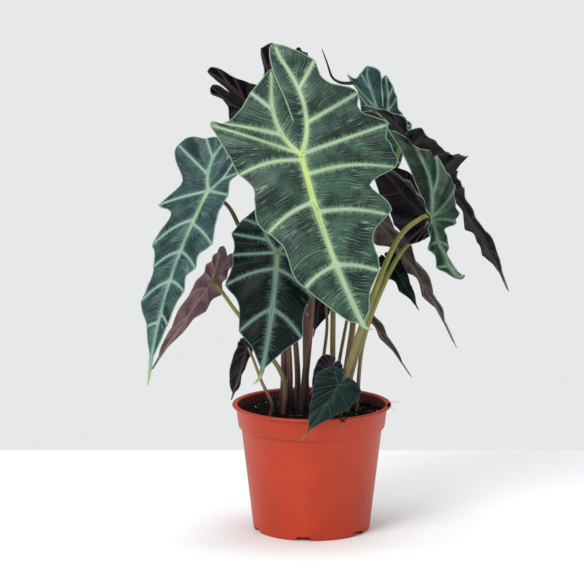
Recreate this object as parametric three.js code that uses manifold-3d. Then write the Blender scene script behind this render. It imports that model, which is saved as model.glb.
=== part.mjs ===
// Potted alocasia: seventeen waved arrow-shaped leaves on bent stalks, in a 19 cm nursery pot.
// Millimetres, +Z up, origin in the middle of the pot's flat base, the main leaf facing -Y.
import * as THREE from 'three'
import Module from 'manifold-3d'

const wasm = await Module()
wasm.setup()

// Pot: radii and heights of a thin moulded pot with a collar and a rolled lip
const potHeight = 152
const potBaseRadius = 70
const potShoulderRadius = 84.2
const potShoulderHeight = 125
const collarRadius = 87.4
const collarTopRadius = 90.3
const lipRadius = 95
const lipHeight = 2.8
const potWall = 1.6
const floorThickness = 2.4
const footBevel = 1.4
const notchCount = 6
const notchSize = { width: 17, height: 5, depth: 9 }
const firstNotchAngle = 22
const roundSides = 40

// Soil: fills the pot to a little under the lip
const soilHeight = 142
const soilGap = 0.35
const soilBump = 1.1
const soilRings = [72, 50, 26]

// Leaves
const bladeThickness = 0.9
const midribExtra = 1.1
const seatGap = 0.3
const stalkSides = 7
const stalkRings = 9
const rootDepth = 104
const joinedShare = 0.3
const foldChange = 30
const liftDelay = 0.02
const liftRamp = 0.12
const dripThread = 3
const stepsAhead = 48
const stepsBehind = 10

const standard = {
  drip: 25, sinus: 0.3, slit: 0.05, lobeTip: 0.22, droop: 25, sweep: 0, twist: 0, lobeBend: 10, tipCurl: 1,
  fold: [10, 10], curl: [-20, -20], wave: 4, bulge: 3, scallop: 0.16, veins: [0.07, 0.3, 0.6], fullness: 1.5,
  edges: [null, null], notches: [null, null], hollows: [[], []], sways: [[], []], veinStarts: [null, null],
  lobeSweep: 0, lobeLift: [0, 0], frontFold: null, dripTurn: 0, tipWidth: 0.045, grid: [2, 2],
}

// One entry a leaf: where blade and stalk meet, where the midrib points, where the upper side faces,
// length of the midrib, length of the rear lobes and half width. Fold and curl are for the left and
// the right half, in degrees. Edges are measured vein ends, along and beside the midrib, and notches
// two points of the slit between the rear lobes. Hollows are the bays between the vein ends, as shares
// of the way in to the vein, and sways shift a bay towards one end. Veins are the shares of the midrib
// where the halves meet at a side vein, and veinStarts where the vein of each half really points to.
// Grid is the number of steps between two veins and of cells from the midrib to the edge.
const leaves = {
  front_main: {
    at: [-13, -85, 461], along: [0.234, -0.2, -0.97], face: [0.05, -1, 0.3],
    length: 208, lobe: 130, half: 104, drip: 16, droop: 12, sweep: 15, lobeBend: 6, dripTurn: 70,
    veins: [0.07, 0.3, 0.64], fold: [5, 5], curl: [-30, -30], lobeLift: [-2, 6], tipWidth: 0.13,
    grid: [5, 3],
    edges: [
      [[-104, 11], [-84, 40], [-57, 79], [-60, 95], [6, 76], [75, 62], [144, 43]],
      [[-131, -1], [-103, 41], [-56, 83], [-14, 114], [44, 109], [100, 80], [160, 44]],
    ],
    notches: [[[-58, 2], [-84, 5]], [[-60, -3], [-106, -10]]],
    hollows: [[0.05, 0.1, 0.02, 0, 0.03, 0.06, 0.02], [0.04, 0.27, 0.2, 0.06, 0.25, 0.2, 0.15]],
    sways: [[0, 0, 0, 0, 0.09, 0.08], [0, 0.08, 0.03, 0.04, 0.12, 0.05]],
    veinStarts: [[0.03, 0.27, 0.64], [0.115, 0.33, 0.64]],
    stalk: [[-13, -6], [-8, -8, 182], [0, -16, 280], [0, -44, 373], [-7, -68, 429], [-13, -84, 459]],
    radii: [5.6, 2.6],
  },
  left_hanging: {
    at: [-121, -20, 410], along: [-0.48, -0.16, -0.86], face: [-0.38, -1, 0.3],
    length: 215, lobe: 78, half: 74, drip: 26, sinus: 0.55, droop: 10, sweep: 20,
    fold: [0, 34], curl: [-25, -25], grid: [5, 2],
    edges: [
      [[-66, 14], [-56, 42], [-34, 76], [40, 57], [84, 42], [107, 30], [148, 32], [174, 15]],
      [[-72, 8], [-54, 20], [-34, 30], [-6, 33], [56, 45], [90, 34], [121, 28], [165, 17]],
    ],
    notches: [[[-50, 1], [-60, 4]], [[-50, 1], [-62, 2]]],
    hollows: [[0.08, 0.05, 0.42, 0.4, 0.12, 0.25, 0.1, 0], [0.1, 0.1, 0.1, 0.02, 0.1, 0.05, -0.1, -0.2]],
    sways: [[0, 0, -0.15, 0.05], []],
    veins: [0.17, 0.36, 0.53, 0.75], veinStarts: [[0.17, 0.36, 0.53, 0.77], [0.2, 0.36, 0.53, 0.72]],
    stalk: [
      [-36, -2], [-33, -3, 193], [-37, -2, 253], [-59, 0, 313], [-85, 2, 363], [-99, -4, 390],
      [-121, -19, 410],
    ],
    radii: [4.6, 2.2],
  },
  lower_centre: {
    at: [-41, -56, 343], along: [-0.05, -0.16, -0.98], face: [-0.05, -1, 0.1],
    length: 142, lobe: 54, half: 60, drip: 18, droop: 5, sweep: -10, dripTurn: -50,
    fold: [3, 3], curl: [-25, -25], veins: [0.13, 0.46], grid: [4, 2],
    edges: [
      [[-54, 20], [-38, 42], [-20, 56], [6, 54], [45, 60], [99, 35]],
      [[-53, 14], [-38, 31], [-17, 42], [9, 44], [48, 45], [95, 39]],
    ],
    hollows: [[0.05, 0.05, 0.08, 0.1, 0.2, 0.15], [0.1, 0.1, 0.1, 0.1, 0.14, 0.12]],
    stalk: [[-27, -12], [-26, -16, 195], [-31, -30, 270], [-39, -50, 331], [-41, -56, 343]],
    radii: [4.4, 2.2],
  },
  left_under: {
    at: [-118, -2, 301], along: [-0.57, -0.22, -0.78], face: [-0.74, 0.38, 0.48],
    length: 120, lobe: 40, half: 42, drip: 12, slit: 0.02, droop: 6, sweep: 12, twist: -5, lobeBend: -8,
    fold: [2, 12], curl: [-14, -16], wave: 1.5, scallop: 0.05, veins: [0.1, 0.45], grid: [3, 2],
    edges: [
      [[-42, 18], [-33, 29], [-14, 31], [4, 42], [31, 36], [70, 19]],
      [[-40, 22], [-30, 31], [-16, 35], [0, 34], [31, 34], [82, 20]],
    ],
    stalk: [[-34, -20], [-33, -20, 184], [-59, -16, 226], [-91, -12, 267], [-109, -8, 292], [-118, -2, 301]],
    radii: [3.6, 2],
  },
  left_small: {
    at: [-76, -44, 229], along: [-0.26, -0.24, -0.92], face: [-0.6, 0.75, 0.1],
    length: 60, lobe: 12, half: 24, drip: 6, droop: -5, fold: [8, 8], curl: [-12, -12],
    wave: 1, bulge: 1, scallop: 0.04, veins: [0.1, 0.45], grid: [2, 1],
    edges: [
      [[-10, 6], [-8, 9], [-4, 11], [6, 10], [28, 6], [49, 6]],
      [[-10, 6], [-8, 11], [-4, 14], [4, 15], [24, 17], [45, 11]],
    ],
    stalk: [[-50, -34], [-47, -38, 158], [-59, -42, 186], [-70, -46, 217], [-76, -44, 229]],
    radii: [3.2, 1.4],
  },
  front_small: {
    at: [31, -90, 193], along: [-0.56, -0.3, -0.78], face: [0, -1, 0.4], length: 64, lobe: 20, half: 32,
    drip: 17, droop: 8, fold: [5, 5], wave: 1, bulge: 1.5, scallop: 0.05, veins: [0.08, 0.4],
    edges: [
      [[-16, 14], [-7, 25], [7, 29], [22, 23], [38, 16], [50, 9]],
      [[-14, 8], [-13, 17], [-9, 25], [2, 29], [19, 25], [38, 14]],
    ],
    stalk: [[33, -66], [34, -74, 165], [31, -89, 192]],
    radii: [2.6, 1.6],
  },
  right_folded: {
    at: [139, -30, 381], along: [0.28, -0.25, -0.92], face: [0.35, -1, 0.35], length: 92, lobe: 86, half: 62,
    drip: 6, droop: -115, tipCurl: 4, sweep: 8, lobeSweep: 55, fold: [45, -5], frontFold: [0, -5],
    curl: [160, -30], bulge: 4, wave: 5, veins: [0.05, 0.32, 0.66], grid: [5, 2],
    edges: [
      [[-80, 6], [-62, 13], [-36, 18], [-8, 18], [17, 18], [38, 24], [62, 26]],
      [[-90, 60], [-68, 59], [-50, 75], [-22, 65], [15, 41], [40, 12], [78, 8]],
    ],
    notches: [[[-46, 4], [-70, 8]], [[-46, 8], [-72, 30]]],
    hollows: [[0.05, 0.05, 0.05, 0.05, 0.1, 0.3, 0.2], [0.05, 0.1, 0.18, 0.25, 0.5, 0.5, 0.2]],
    sways: [[], [0, 0, 0, 0.06, 0.1]],
    stalk: [[30, -12], [39, -14, 183], [69, -16, 276], [100, -18, 351], [128, -20, 378], [139, -29, 381]],
    radii: [5.8, 2.4],
  },
  far_right: {
    at: [111, 70, 465], along: [0.72, 0.03, -0.68], face: [0.5, 0.45, 0.6], length: 215, lobe: 64, half: 60,
    drip: 14, droop: 28, fold: [10, 12], curl: [8, -20], wave: 2, veins: [0.08, 0.2, 0.3, 0.42, 0.6, 0.8],
    grid: [4, 2],
    edges: [
      [
        [-60, -2], [-46, 11], [-29, 22], [-4, 26], [15, 34], [47, 42], [62, 66], [94, 28], [129, 9],
        [185, 10],
      ],
      [
        [-54, 36], [-44, 27], [-21, 17], [-8, 16], [20, 17], [48, 18], [72, 18], [98, 14], [138, 30],
        [176, 28],
      ],
    ],
    hollows: [
      [0.02, 0.05, 0.05, 0.05, 0.03, 0.25, 0.6, 0.35, -0.4, 0.05, 0.1],
      [0.05, 0.05, 0.05, 0.05, 0.05, 0.05, 0.05, 0.05, 0.1, 0.1, 0.1],
    ],
    sways: [[0, 0, 0, 0, 0, 0, 0, 0.2], []],
    stalk: [[40, 32], [46, 54, 186], [55, 80, 269], [75, 92, 350], [98, 88, 420], [111, 71, 464]],
    radii: [5, 2.4],
  },
  back_upright: {
    at: [87, 105, 475], along: [0, 0.15, -0.98], face: [-0.1, -1, -0.3], length: 90, lobe: 72, half: 34,
    drip: 10, slit: 0.04, droop: 5, lobeBend: -5, wave: 2, bulge: 2, veins: [0.1, 0.42], lobeLift: [-1, 1.5],
    grid: [3, 2],
    edges: [
      [[-73, 19], [-64, 28], [-60, 45], [-38, 31], [18, 30], [48, 20]],
      [[-62, 3], [-49, 12], [-35, 17], [-14, 24], [1, 36], [50, 22]],
    ],
    notches: [[[-42, 2], [-66, 4]], [[-40, -1], [-54, -3]]],
    hollows: [[-0.05, 0.15, 0.1, 0.1, 0.1, 0.1], [-0.05, 0.02, 0.1, 0.1, 0.1, 0.1]],
    stalk: [
      [22, 14], [25, 22, 188], [27, 44, 290], [36, 78, 380], [56, 106, 425], [78, 115, 459], [87, 106, 474],
    ],
    radii: [4.2, 2],
  },
  back_left: {
    at: [-71, 62, 494], along: [0.7, 0.22, -0.66], face: [-0.2, 0.8, 0.45], length: 72, lobe: 76, half: 40,
    drip: 5, sinus: 0.5, slit: 0.04, droop: 10, wave: 2.5, veins: [0.1, 0.5], grid: [3, 2],
    edges: [
      [[-78, 3], [-73, 14], [-48, 19], [-22, 30], [20, 34], [46, 22]],
      [[-60, 8], [-54, 16], [-34, 13], [-14, 26], [20, 32], [46, 20]],
    ],
    notches: [[[-46, 0.8], [-64, 0.8]], [[-44, 0.8], [-54, 2]]],
    hollows: [[0.05, 0.12, 0.1, 0.1, 0.1, 0.1], [0.05, 0.1, 0.1, 0.1, 0.1, 0.1]],
    stalk: [[-18, 18], [-17, 28, 188], [-25, 42, 272], [-44, 56, 404], [-62, 58, 466], [-71, 61.5, 493]],
    radii: [4.4, 2.2],
  },
  back_centre: {
    at: [-33, 28, 479], along: [-0.04, -0.05, -0.97], face: [-0.15, 1, 0.15],
    length: 150, lobe: 97, half: 54, drip: 14, slit: 0.06, droop: 8, fold: [5, 5], grid: [3, 2],
    edges: [
      [[-97, 12], [-91, 23], [-62, 30], [-20, 44], [30, 52], [64, 42], [104, 24]],
      [[-101, 20], [-95, 34], [-62, 28], [-22, 40], [30, 48], [64, 40], [104, 24]],
    ],
    stalk: [[-6, 8], [-7, 10, 191], [-9, 8, 277], [-16, 2, 375], [-28, 10, 455], [-33, 27, 478]],
    radii: [4.4, 2.2],
  },
  right_inner: {
    at: [138, 12, 369], along: [-0.68, 0.15, 0.72], face: [-0.3, 0.9, -0.3], length: 108, lobe: 14, half: 41,
    drip: 4, droop: 8, veins: [0.1, 0.45], grid: [3, 2],
    stalk: [[42, -4], [46, -2, 186], [75, 2, 271], [103, 6, 329], [130, 10, 358], [138, 12, 369]],
    radii: [5.2, 2.2],
  },
  right_low: {
    at: [65, 42, 385], along: [0.66, -0.1, -0.74], face: [0.6, 0.35, 0.6], length: 180, lobe: 44, half: 44,
    drip: 26, droop: 14, sweep: 14, fold: [8, 0], veins: [0.12, 0.38, 0.65], grid: [3, 2],
    stalk: [[34, 8], [41, 12, 190], [53, 25, 272], [62, 38, 343], [65, 42, 385]],
    radii: [4.4, 2],
  },
  right_young: {
    at: [91, 26, 320], along: [0.56, -0.25, -0.8], face: [0.56, -0.68, 0.47], length: 66, lobe: 10, half: 20,
    drip: 4, droop: 6, wave: 2, bulge: 1, veins: [0.12, 0.5], grid: [2, 1],
    stalk: [[54, 4], [60, 10, 214], [78, 18, 274], [89, 25, 311], [91, 26, 320]],
    radii: [3, 1.4],
  },
  low_right: {
    at: [50, 54, 274], along: [0.6, 0.05, -0.8], face: [0.6, 0.42, 0.5], length: 112, lobe: 22, half: 20,
    drip: 14, droop: 4, wave: 2, bulge: 1, veins: [0.15, 0.5],
    stalk: [[26, 30], [32, 38, 185], [43, 50, 244], [50, 54, 274]],
    radii: [3.2, 1.6],
  },
  low_back: {
    at: [15, 70, 282], along: [-0.2, 0.1, -0.95], face: [-0.1, 1, 0.1], length: 58, lobe: 22, half: 26,
    drip: 8, droop: 8, wave: 2, veins: [0.12, 0.5],
    stalk: [[12, 34], [13, 44, 183], [19, 60, 236], [15, 70, 282]],
    radii: [3.2, 1.6],
  },
  low_dark: {
    at: [21, -30, 201], along: [-0.5, -0.1, -0.6], face: [-0.1, 1, 0.5], length: 34, lobe: 14, half: 20,
    drip: 5, droop: 8, wave: 1, bulge: 1, scallop: 0.05, veins: [0.12, 0.5], grid: [2, 1],
    stalk: [[20, -28], [26, -33, 172], [22, -31, 200]],
    radii: [2.4, 1.4],
  },
}

const group = new THREE.Group()
group.name = 'potted_alocasia'

const potMaterial = new THREE.MeshStandardMaterial({ color: 0xc6553b, roughness: 0.5, metalness: 0 })
const soilMaterial = new THREE.MeshStandardMaterial({ color: 0x1d1815, roughness: 1, metalness: 0 })
const bladeMaterial = new THREE.MeshStandardMaterial({ color: 0x2b4a3d, roughness: 0.45, metalness: 0 })
const stalkMaterial = new THREE.MeshStandardMaterial({ color: 0x8a8350, roughness: 0.55, metalness: 0 })

const vector = (list) => new THREE.Vector3(...list)
const mix = (a, b, t) => a + (b - a) * t
const snap = (value) => Math.round(value * 100 + 0.13)

function through(list, i, t) {
  // point at share t of a smooth curve from pair i of a list to the next
  const pick = (k) => list[Math.min(Math.max(k, 0), list.length - 1)]
  return [0, 1].map((axis) => {
    const [a, b, c, d] = [pick(i - 1)[axis], pick(i)[axis], pick(i + 1)[axis], pick(i + 2)[axis]]
    const [square, cube] = [2 * a - 5 * b + 4 * c - d, 3 * b - a - 3 * c + d]
    return 0.5 * (2 * b + (c - a) * t + square * t * t + cube * t ** 3)
  })
}

// Flat outline of one half of a blade
// Every row runs from an inner line, the rib of the rear lobe or the midrib, out to the edge.

function lobeRib(shape, share) {
  const bend = [-0.32 * shape.reach, 0.3 * shape.half]
  const end = [-0.86 * shape.reach, (shape.lobeTip + 0.03) * shape.half]
  return [0, 1].map((k) => 2 * share * (1 - share) * bend[k] + share * share * end[k])
}

function edgeStations(shape, side) {
  const rear = [[1, -1, shape.lobeTip], [0.7, -0.84, 0.56], [0.36, -0.55, 0.86], [0, -0.16, 1]]
  const stations = rear.map(([share, u, v]) => ({
    lobe: true, share, edge: [u * shape.reach, v * shape.half],
  }))
  shape.veins.forEach((seam, k) => {
    const reach = seam + 0.14 * (1 - 0.35 * seam)
    const width = Math.max(0, 1 - reach ** shape.fullness) * shape.half
    const share = shape.veinStarts[side]?.[k] ?? seam
    stations.push({ lobe: false, share, seam, edge: [reach * shape.length, width] })
  })
  const measured = shape.edges[side] ?? []
  measured.forEach((edge, k) => { stations[k].edge = [...edge] })
  const tip = [0.955 * shape.length, shape.tipWidth * shape.half]
  stations.push({ lobe: false, share: 0.93, seam: 0.93, edge: tip })
  const end = 1 + shape.drip / shape.length
  stations.push({ lobe: false, share: end, seam: end, edge: [shape.length + shape.drip, 0] })
  return stations
}

function outlinePoints(shape, side) {
  // Points of the edge: three of the slit between the rear lobes, then the ends of the veins
  const slit = shape.slit * shape.half
  const notch = shape.notches[side] ?? [
    [-0.62 * shape.reach, slit], [-0.86 * shape.reach, 1.3 * slit + 0.02 * shape.half],
  ]
  const ends = edgeStations(shape, side).slice(0, -1).map((station) => station.edge)
  return [[-shape.sinus * shape.lobe, 0], ...notch, ...ends]
}

function innerRows(shape, side, steps) {
  const shares = [0, 0.36, 0.7, 1]
  const edge = outlinePoints(shape, side)
  const rows = []
  for (let k = 0; k <= 3 * steps; k++) {
    const part = Math.min(Math.floor(k / steps), 2)
    const share = mix(shares[part], shares[part + 1], k / steps - part)
    let outer = [edge[0][0] * share / joinedShare, 0]
    if (share > joinedShare) {
      const along = (share - joinedShare) / (1 - joinedShare) * 3
      const i = Math.min(Math.floor(along), 2)
      outer = through(edge, i, along - i)
    }
    const inner = lobeRib(shape, share)
    rows.push({ seam: inner, inner, outer, lift: 0, turn: 0 })
  }
  return rows
}

function dripWidth(wide, t) {
  // Half width along the last stretch: falls fast to a thread, then to the point
  const thread = Math.min(wide, dripThread)
  return (thread + (wide - thread) * (1 - t) ** 4) * (1 - t) ** 0.7
}

function outerRows(shape, side, steps) {
  const stations = edgeStations(shape, side)
  const edge = outlinePoints(shape, side)
  const [hollows, sways] = [shape.hollows[side], shape.sways[side]]
  const last = stations.length - 2
  const rows = []
  for (let i = 0; i <= last; i++) {
    const [from, to] = [stations[i], stations[i + 1]]
    const plain = i < last - 1 ? shape.scallop : 0.25 * shape.scallop
    const depth = i < last ? hollows[i] ?? plain : 0
    const sway = sways[i] ?? 0
    for (let k = 0; k < steps + (i === last ? 1 : 0); k++) {
      const t = k / steps
      const ahead = (kind) => [mix(from.lobe ? 0 : from[kind], to[kind], t) * shape.length, 0]
      const inner = to.lobe ? lobeRib(shape, mix(from.share, to.share, t)) : ahead('share')
      const seam = to.lobe ? inner : ahead('seam')
      const drip = [mix(from.edge[0], to.edge[0], t), dripWidth(from.edge[1], t)]
      const bay = depth * Math.sin(Math.PI * t) ** 1.4 + sway * Math.sin(2 * Math.PI * t)
      const plainEdge = i < last ? through(edge, i + 3, t) : drip
      const outer = plainEdge.map((value, axis) => mix(value, inner[axis], bay))
      rows.push({ seam, inner, outer, lift: i < last - 1 ? 1 : i < last ? 0.5 : 0, turn: t })
    }
  }
  return rows
}

// The bent blade

function spine(shape) {
  // Stations of the midrib and, behind the stalk, of the rear lobes: place, upper side and sideways
  const along = vector(shape.along).normalize()
  const up = vector(shape.face)
  up.addScaledVector(along, -up.dot(along)).normalize()
  const radians = THREE.MathUtils.degToRad
  const walk = (span, steps, move) => {
    const [d, n, place] = [along.clone(), up.clone(), vector(shape.at)]
    const stop = (u) => ({ u, place: place.clone(), up: n.clone(), aside: d.clone().cross(n) })
    const stops = [stop(0)]
    for (let k = 0; k < steps; k++) {
      const aside = d.clone().cross(n)
      move(d, n, aside, (k + 0.5) / steps, steps)
      n.addScaledVector(d, -n.dot(d)).normalize()
      place.addScaledVector(d, span / steps)
      stops.push(stop(span * (k + 1) / steps))
    }
    return stops
  }
  const drip = shape.drip / (shape.length + shape.drip)
  const ahead = walk(shape.length + shape.drip, stepsAhead, (d, n, aside, x, steps) => {
    const rate = shape.tipCurl * x ** (shape.tipCurl - 1) / steps
    d.applyAxisAngle(aside, -radians(shape.droop) * rate)
    n.applyAxisAngle(aside, -radians(shape.droop) * rate)
    const turn = shape.sweep + (x > 1 - drip ? shape.dripTurn / drip : 0)
    d.applyAxisAngle(n, radians(turn) / steps)
    n.applyAxisAngle(d, radians(shape.twist) * rate)
  })
  const behind = walk(-1.05 * shape.longest, stepsBehind, (d, n, aside, x, steps) => {
    d.applyAxisAngle(aside, radians(shape.lobeBend) / steps)
    n.applyAxisAngle(aside, radians(shape.lobeBend) / steps)
    d.applyAxisAngle(n, radians(shape.lobeSweep) / steps)
  })
  return [...behind.slice(1).reverse(), ...ahead]
}

function bend(shape, stops, u, v, side, lift) {
  // Place of the flat point (u, v) of one half once the blade droops, folds and curls
  let i = stops.findIndex((stop) => stop.u >= u)
  i = Math.min(Math.max(i < 0 ? stops.length - 1 : i, 1), stops.length - 1)
  const [a, b] = [stops[i - 1], stops[i]]
  const t = THREE.MathUtils.clamp((u - a.u) / (b.u - a.u), 0, 1)
  const front = (shape.frontFold ?? shape.fold)[side]
  const changed = THREE.MathUtils.clamp(u / foldChange, 0, 1)
  const fold = THREE.MathUtils.degToRad(mix(shape.fold[side], front, changed))
  const curl = THREE.MathUtils.degToRad(shape.curl[side])
  const turned = fold + curl * v / shape.half
  const out = shape.half / curl * (Math.sin(turned) - Math.sin(fold))
  const back = THREE.MathUtils.clamp((-u / shape.lobe - shape.sinus - liftDelay) / liftRamp, 0, 1)
  const lobeRise = shape.lobeLift[side] * back * back * (3 - 2 * back)
  const rise = -shape.half / curl * (Math.cos(turned) - Math.cos(fold)) + lift + lobeRise
  const sign = side === 0 ? 1 : -1
  return a.place.clone().lerp(b.place, t)
    .addScaledVector(a.aside.clone().lerp(b.aside, t), sign * out)
    .addScaledVector(a.up.clone().lerp(b.up, t), rise)
}

function bladeSheet(shape) {
  // Middle surface of the blade: welded points and triangles that face its upper side
  const [steps, cells] = shape.grid
  const stops = spine(shape)
  const sheet = { points: [], ribs: [], triangles: [] }
  const known = new Map()
  const pointAt = (half, row, r, side) => {
    const [u, v] = r === 0 ? row.seam : row.inner.map((value, axis) => mix(value, row.outer[axis], r))
    const apart = v < 0 ? `${side},` : ''
    const key = `${apart}${snap(u)},${snap(v) * (side === 0 ? 1 : -1)}`
    if (!known.has(key)) {
      const span = Math.hypot(row.outer[0] - row.inner[0], row.outer[1] - row.inner[1])
      const fade = row.lift * Math.min(span / (0.35 * half.half), 1)
      const swell = half.bulge * Math.sin(Math.PI * row.turn) ** 2 * Math.sin(Math.PI * r ** 0.8)
      const waved = -half.wave * Math.cos(2 * Math.PI * row.turn) * r ** 2.2
      known.set(key, sheet.points.length)
      sheet.points.push(bend(half, stops, u, v, side, (swell + waved) * fade))
      sheet.ribs.push(r === 0 ? 1 : 0)
    }
    return known.get(key)
  }
  for (const side of [0, 1]) {
    const measured = shape.edges[side]
    const half = { ...shape, reach: measured ? -measured[0][0] : shape.lobe }
    if (measured) half.lobeTip = measured[0][1] / shape.half
    for (const rows of [innerRows(half, side, steps), outerRows(half, side, steps)]) {
      const across = Array.from({ length: cells + 1 }, (_, c) => c / cells)
      const grid = rows.map((row) => across.map((r) => pointAt(half, row, r, side)))
      for (let i = 0; i + 1 < grid.length; i++) {
        for (let c = 0; c < cells; c++) {
          const square = [grid[i][c], grid[i + 1][c], grid[i + 1][c + 1], grid[i][c + 1]]
          for (const [a, b, d] of [[0, 1, 2], [0, 2, 3]]) {
            const corner = [square[a], square[b], square[d]]
            if (new Set(corner).size === 3) sheet.triangles.push(side === 0 ? corner.reverse() : corner)
          }
        }
      }
    }
  }
  return sheet
}

function thicken(sheet, thickness, ribExtra) {
  // Closed body with the same triangles on both faces and a wall round the edge
  const count = sheet.points.length
  const normals = sheet.points.map(() => new THREE.Vector3())
  for (const [a, b, c] of sheet.triangles) {
    const [p, q, r] = [sheet.points[a], sheet.points[b], sheet.points[c]]
    const normal = q.clone().sub(p).cross(r.clone().sub(p))
    for (const k of [a, b, c]) normals[k].add(normal)
  }
  const positions = []
  const push = (k, distance) => {
    const place = sheet.points[k].clone().addScaledVector(normals[k], distance)
    positions.push(place.x, place.y, place.z)
  }
  normals.forEach((n) => n.normalize())
  for (let k = 0; k < count; k++) push(k, thickness / 2)
  for (let k = 0; k < count; k++) push(k, -thickness / 2 - ribExtra * sheet.ribs[k])
  const index = []
  const edges = new Map()
  for (const [a, b, c] of sheet.triangles) {
    index.push(a, b, c, count + a, count + c, count + b)
    for (const [from, to] of [[a, b], [b, c], [c, a]]) {
      const back = `${to}-${from}`
      if (edges.has(back)) edges.delete(back)
      else edges.set(`${from}-${to}`, [from, to])
    }
  }
  for (const [from, to] of edges.values()) {
    index.push(from, count + from, count + to, from, count + to, to)
  }
  return meshFrom(positions, index)
}


function meshFrom(positions, index) {
  const geometry = new THREE.BufferGeometry()
  geometry.setAttribute('position', new THREE.Float32BufferAttribute(positions, 3))
  geometry.setIndex(index)
  return geometry
}

function toSolid(geometry) {
  const mesh = new wasm.Mesh({
    numProp: 3,
    vertProperties: new Float32Array(geometry.attributes.position.array),
    triVerts: new Uint32Array(geometry.index.array),
  })
  mesh.merge()
  return new wasm.Manifold(mesh)
}

function fromSolid(solid) {
  const mesh = solid.getMesh()
  return meshFrom(Array.from(mesh.vertProperties), Array.from(mesh.triVerts))
}

function largestPiece(solid) {
  return solid.decompose().sort((a, b) => b.volume() - a.volume())[0]
}

function ringed(rings, sides, closeLow, closeHigh) {
  // Skin over rings of points, closed with a middle point at either end
  const positions = []
  for (const ring of rings) for (const p of ring) positions.push(p.x, p.y, p.z)
  const index = []
  for (let i = 0; i + 1 < rings.length; i++) {
    for (let k = 0; k < sides; k++) {
      const [a, b] = [i * sides + k, i * sides + (k + 1) % sides]
      index.push(a, b, b + sides, a, b + sides, a + sides)
    }
  }
  const low = positions.length / 3
  positions.push(closeLow.x, closeLow.y, closeLow.z, closeHigh.x, closeHigh.y, closeHigh.z)
  const top = (rings.length - 1) * sides
  for (let k = 0; k < sides; k++) {
    index.push(low, (k + 1) % sides, k, low + 1, top + k, top + (k + 1) % sides)
  }
  return meshFrom(positions, index)
}

// Stalks

function stalkRoute(shape, deeper) {
  const [[x, y], ...rest] = shape.stalk
  const low = [x, y, rootDepth - deeper]
  return new THREE.CatmullRomCurve3([low, [x, y, soilHeight - 4], ...rest].map(vector), false, 'catmullrom')
}

function stalkGeometry(shape, grow) {
  const route = stalkRoute(shape, grow)
  const across = new THREE.Vector3(1, 0, 0)
  const rings = []
  for (let i = 0; i <= stalkRings; i++) {
    const t = i / stalkRings
    const along = route.getTangent(t)
    across.addScaledVector(along, -across.dot(along)).normalize()
    const beside = along.clone().cross(across)
    const radius = mix(shape.radii[1], shape.radii[0], (1 - t) ** 1.3) + grow
    const centre = route.getPoint(t)
    rings.push(Array.from({ length: stalkSides }, (_, k) => {
      const turn = 2 * Math.PI * k / stalkSides
      return centre.clone().addScaledVector(across, radius * Math.cos(turn))
        .addScaledVector(beside, radius * Math.sin(turn))
    }))
  }
  return ringed(rings, stalkSides, route.getPoint(0), route.getPoint(1))
}

// Pot and soil

function lathe(profile, sides) {
  const geometry = new THREE.LatheGeometry(profile.map((p) => new THREE.Vector2(...p)), sides)
  geometry.rotateX(Math.PI / 2)
  return geometry
}

const lipUnder = potHeight - lipHeight
const potInside = [
  [potBaseRadius - potWall + 0.2, floorThickness + 1],
  [potShoulderRadius - potWall, potShoulderHeight - 1.6],
  [collarRadius - potWall, potShoulderHeight + 2],
  [collarTopRadius - potWall, potHeight - 0.9],
]

function makePot() {
  const floorEdge = potInside[0][0] - 1
  const profile = [
    [0, 0], [potBaseRadius - footBevel, 0], [potBaseRadius, footBevel],
    [potShoulderRadius, potShoulderHeight - 0.6], [collarRadius, potShoulderHeight],
    [collarTopRadius, lipUnder], [lipRadius - 0.9, lipUnder], [lipRadius, lipUnder + 0.9],
    [lipRadius, potHeight - 0.9], [lipRadius - 0.9, potHeight], [potInside[3][0] + 0.9, potHeight],
    ...potInside.toReversed(), [floorEdge, floorThickness], [0, floorThickness],
  ]
  let solid = toSolid(lathe(profile, roundSides))
  for (let k = 0; k < notchCount; k++) {
    const notch = new THREE.BoxGeometry(notchSize.depth, notchSize.width, notchSize.height + 2)
    notch.translate(potBaseRadius - notchSize.depth / 2 + 2, 0, notchSize.height / 2 - 1)
    notch.rotateZ(THREE.MathUtils.degToRad(firstNotchAngle + k * 360 / notchCount))
    solid = solid.subtract(toSolid(notch))
  }
  return fromSolid(solid)
}

function soilTop(x, y) {
  const bump = Math.sin(x * 0.21 + 1) * Math.cos(y * 0.17 - 0.4) + 0.6 * Math.sin(x * 0.07 + y * 0.31)
  return soilHeight + soilBump * bump
}

function makeSoil() {
  const low = floorThickness + soilGap
  const edgeHeight = soilHeight - 1.5
  const [collar, lip] = potInside.slice(2)
  const edgeRadius = mix(collar[0], lip[0], (edgeHeight - collar[1]) / (lip[1] - collar[1]))
  const wall = [...potInside.slice(0, 3), [edgeRadius, edgeHeight]]
  const ring = (radius, height) => Array.from({ length: roundSides }, (_, k) => {
    const turn = 2 * Math.PI * k / roundSides
    const [x, y] = [radius * Math.cos(turn), radius * Math.sin(turn)]
    return new THREE.Vector3(x, y, height ?? soilTop(x, y))
  })
  const rings = [
    ring(potInside[0][0] - 1.6, low),
    ...wall.map(([radius, height], k) => ring(radius - soilGap, height + (k < 3 ? 0.2 : 0))),
    ...soilRings.map((radius) => ring(radius)),
  ]
  let solid = toSolid(ringed(rings, roundSides, vector([0, 0, low]), vector([0, 0, soilTop(0, 0)])))
  for (const shape of shapes) solid = solid.subtract(toSolid(stalkGeometry(shape, seatGap)))
  return fromSolid(largestPiece(solid))
}

// The plant

const shapes = Object.entries(leaves).map(([name, leaf]) => {
  const shape = { ...standard, ...leaf, name }
  const reaches = shape.edges.map((edge) => (edge ? -edge[0][0] : shape.lobe))
  shape.longest = Math.max(...reaches)
  return shape
})

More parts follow.
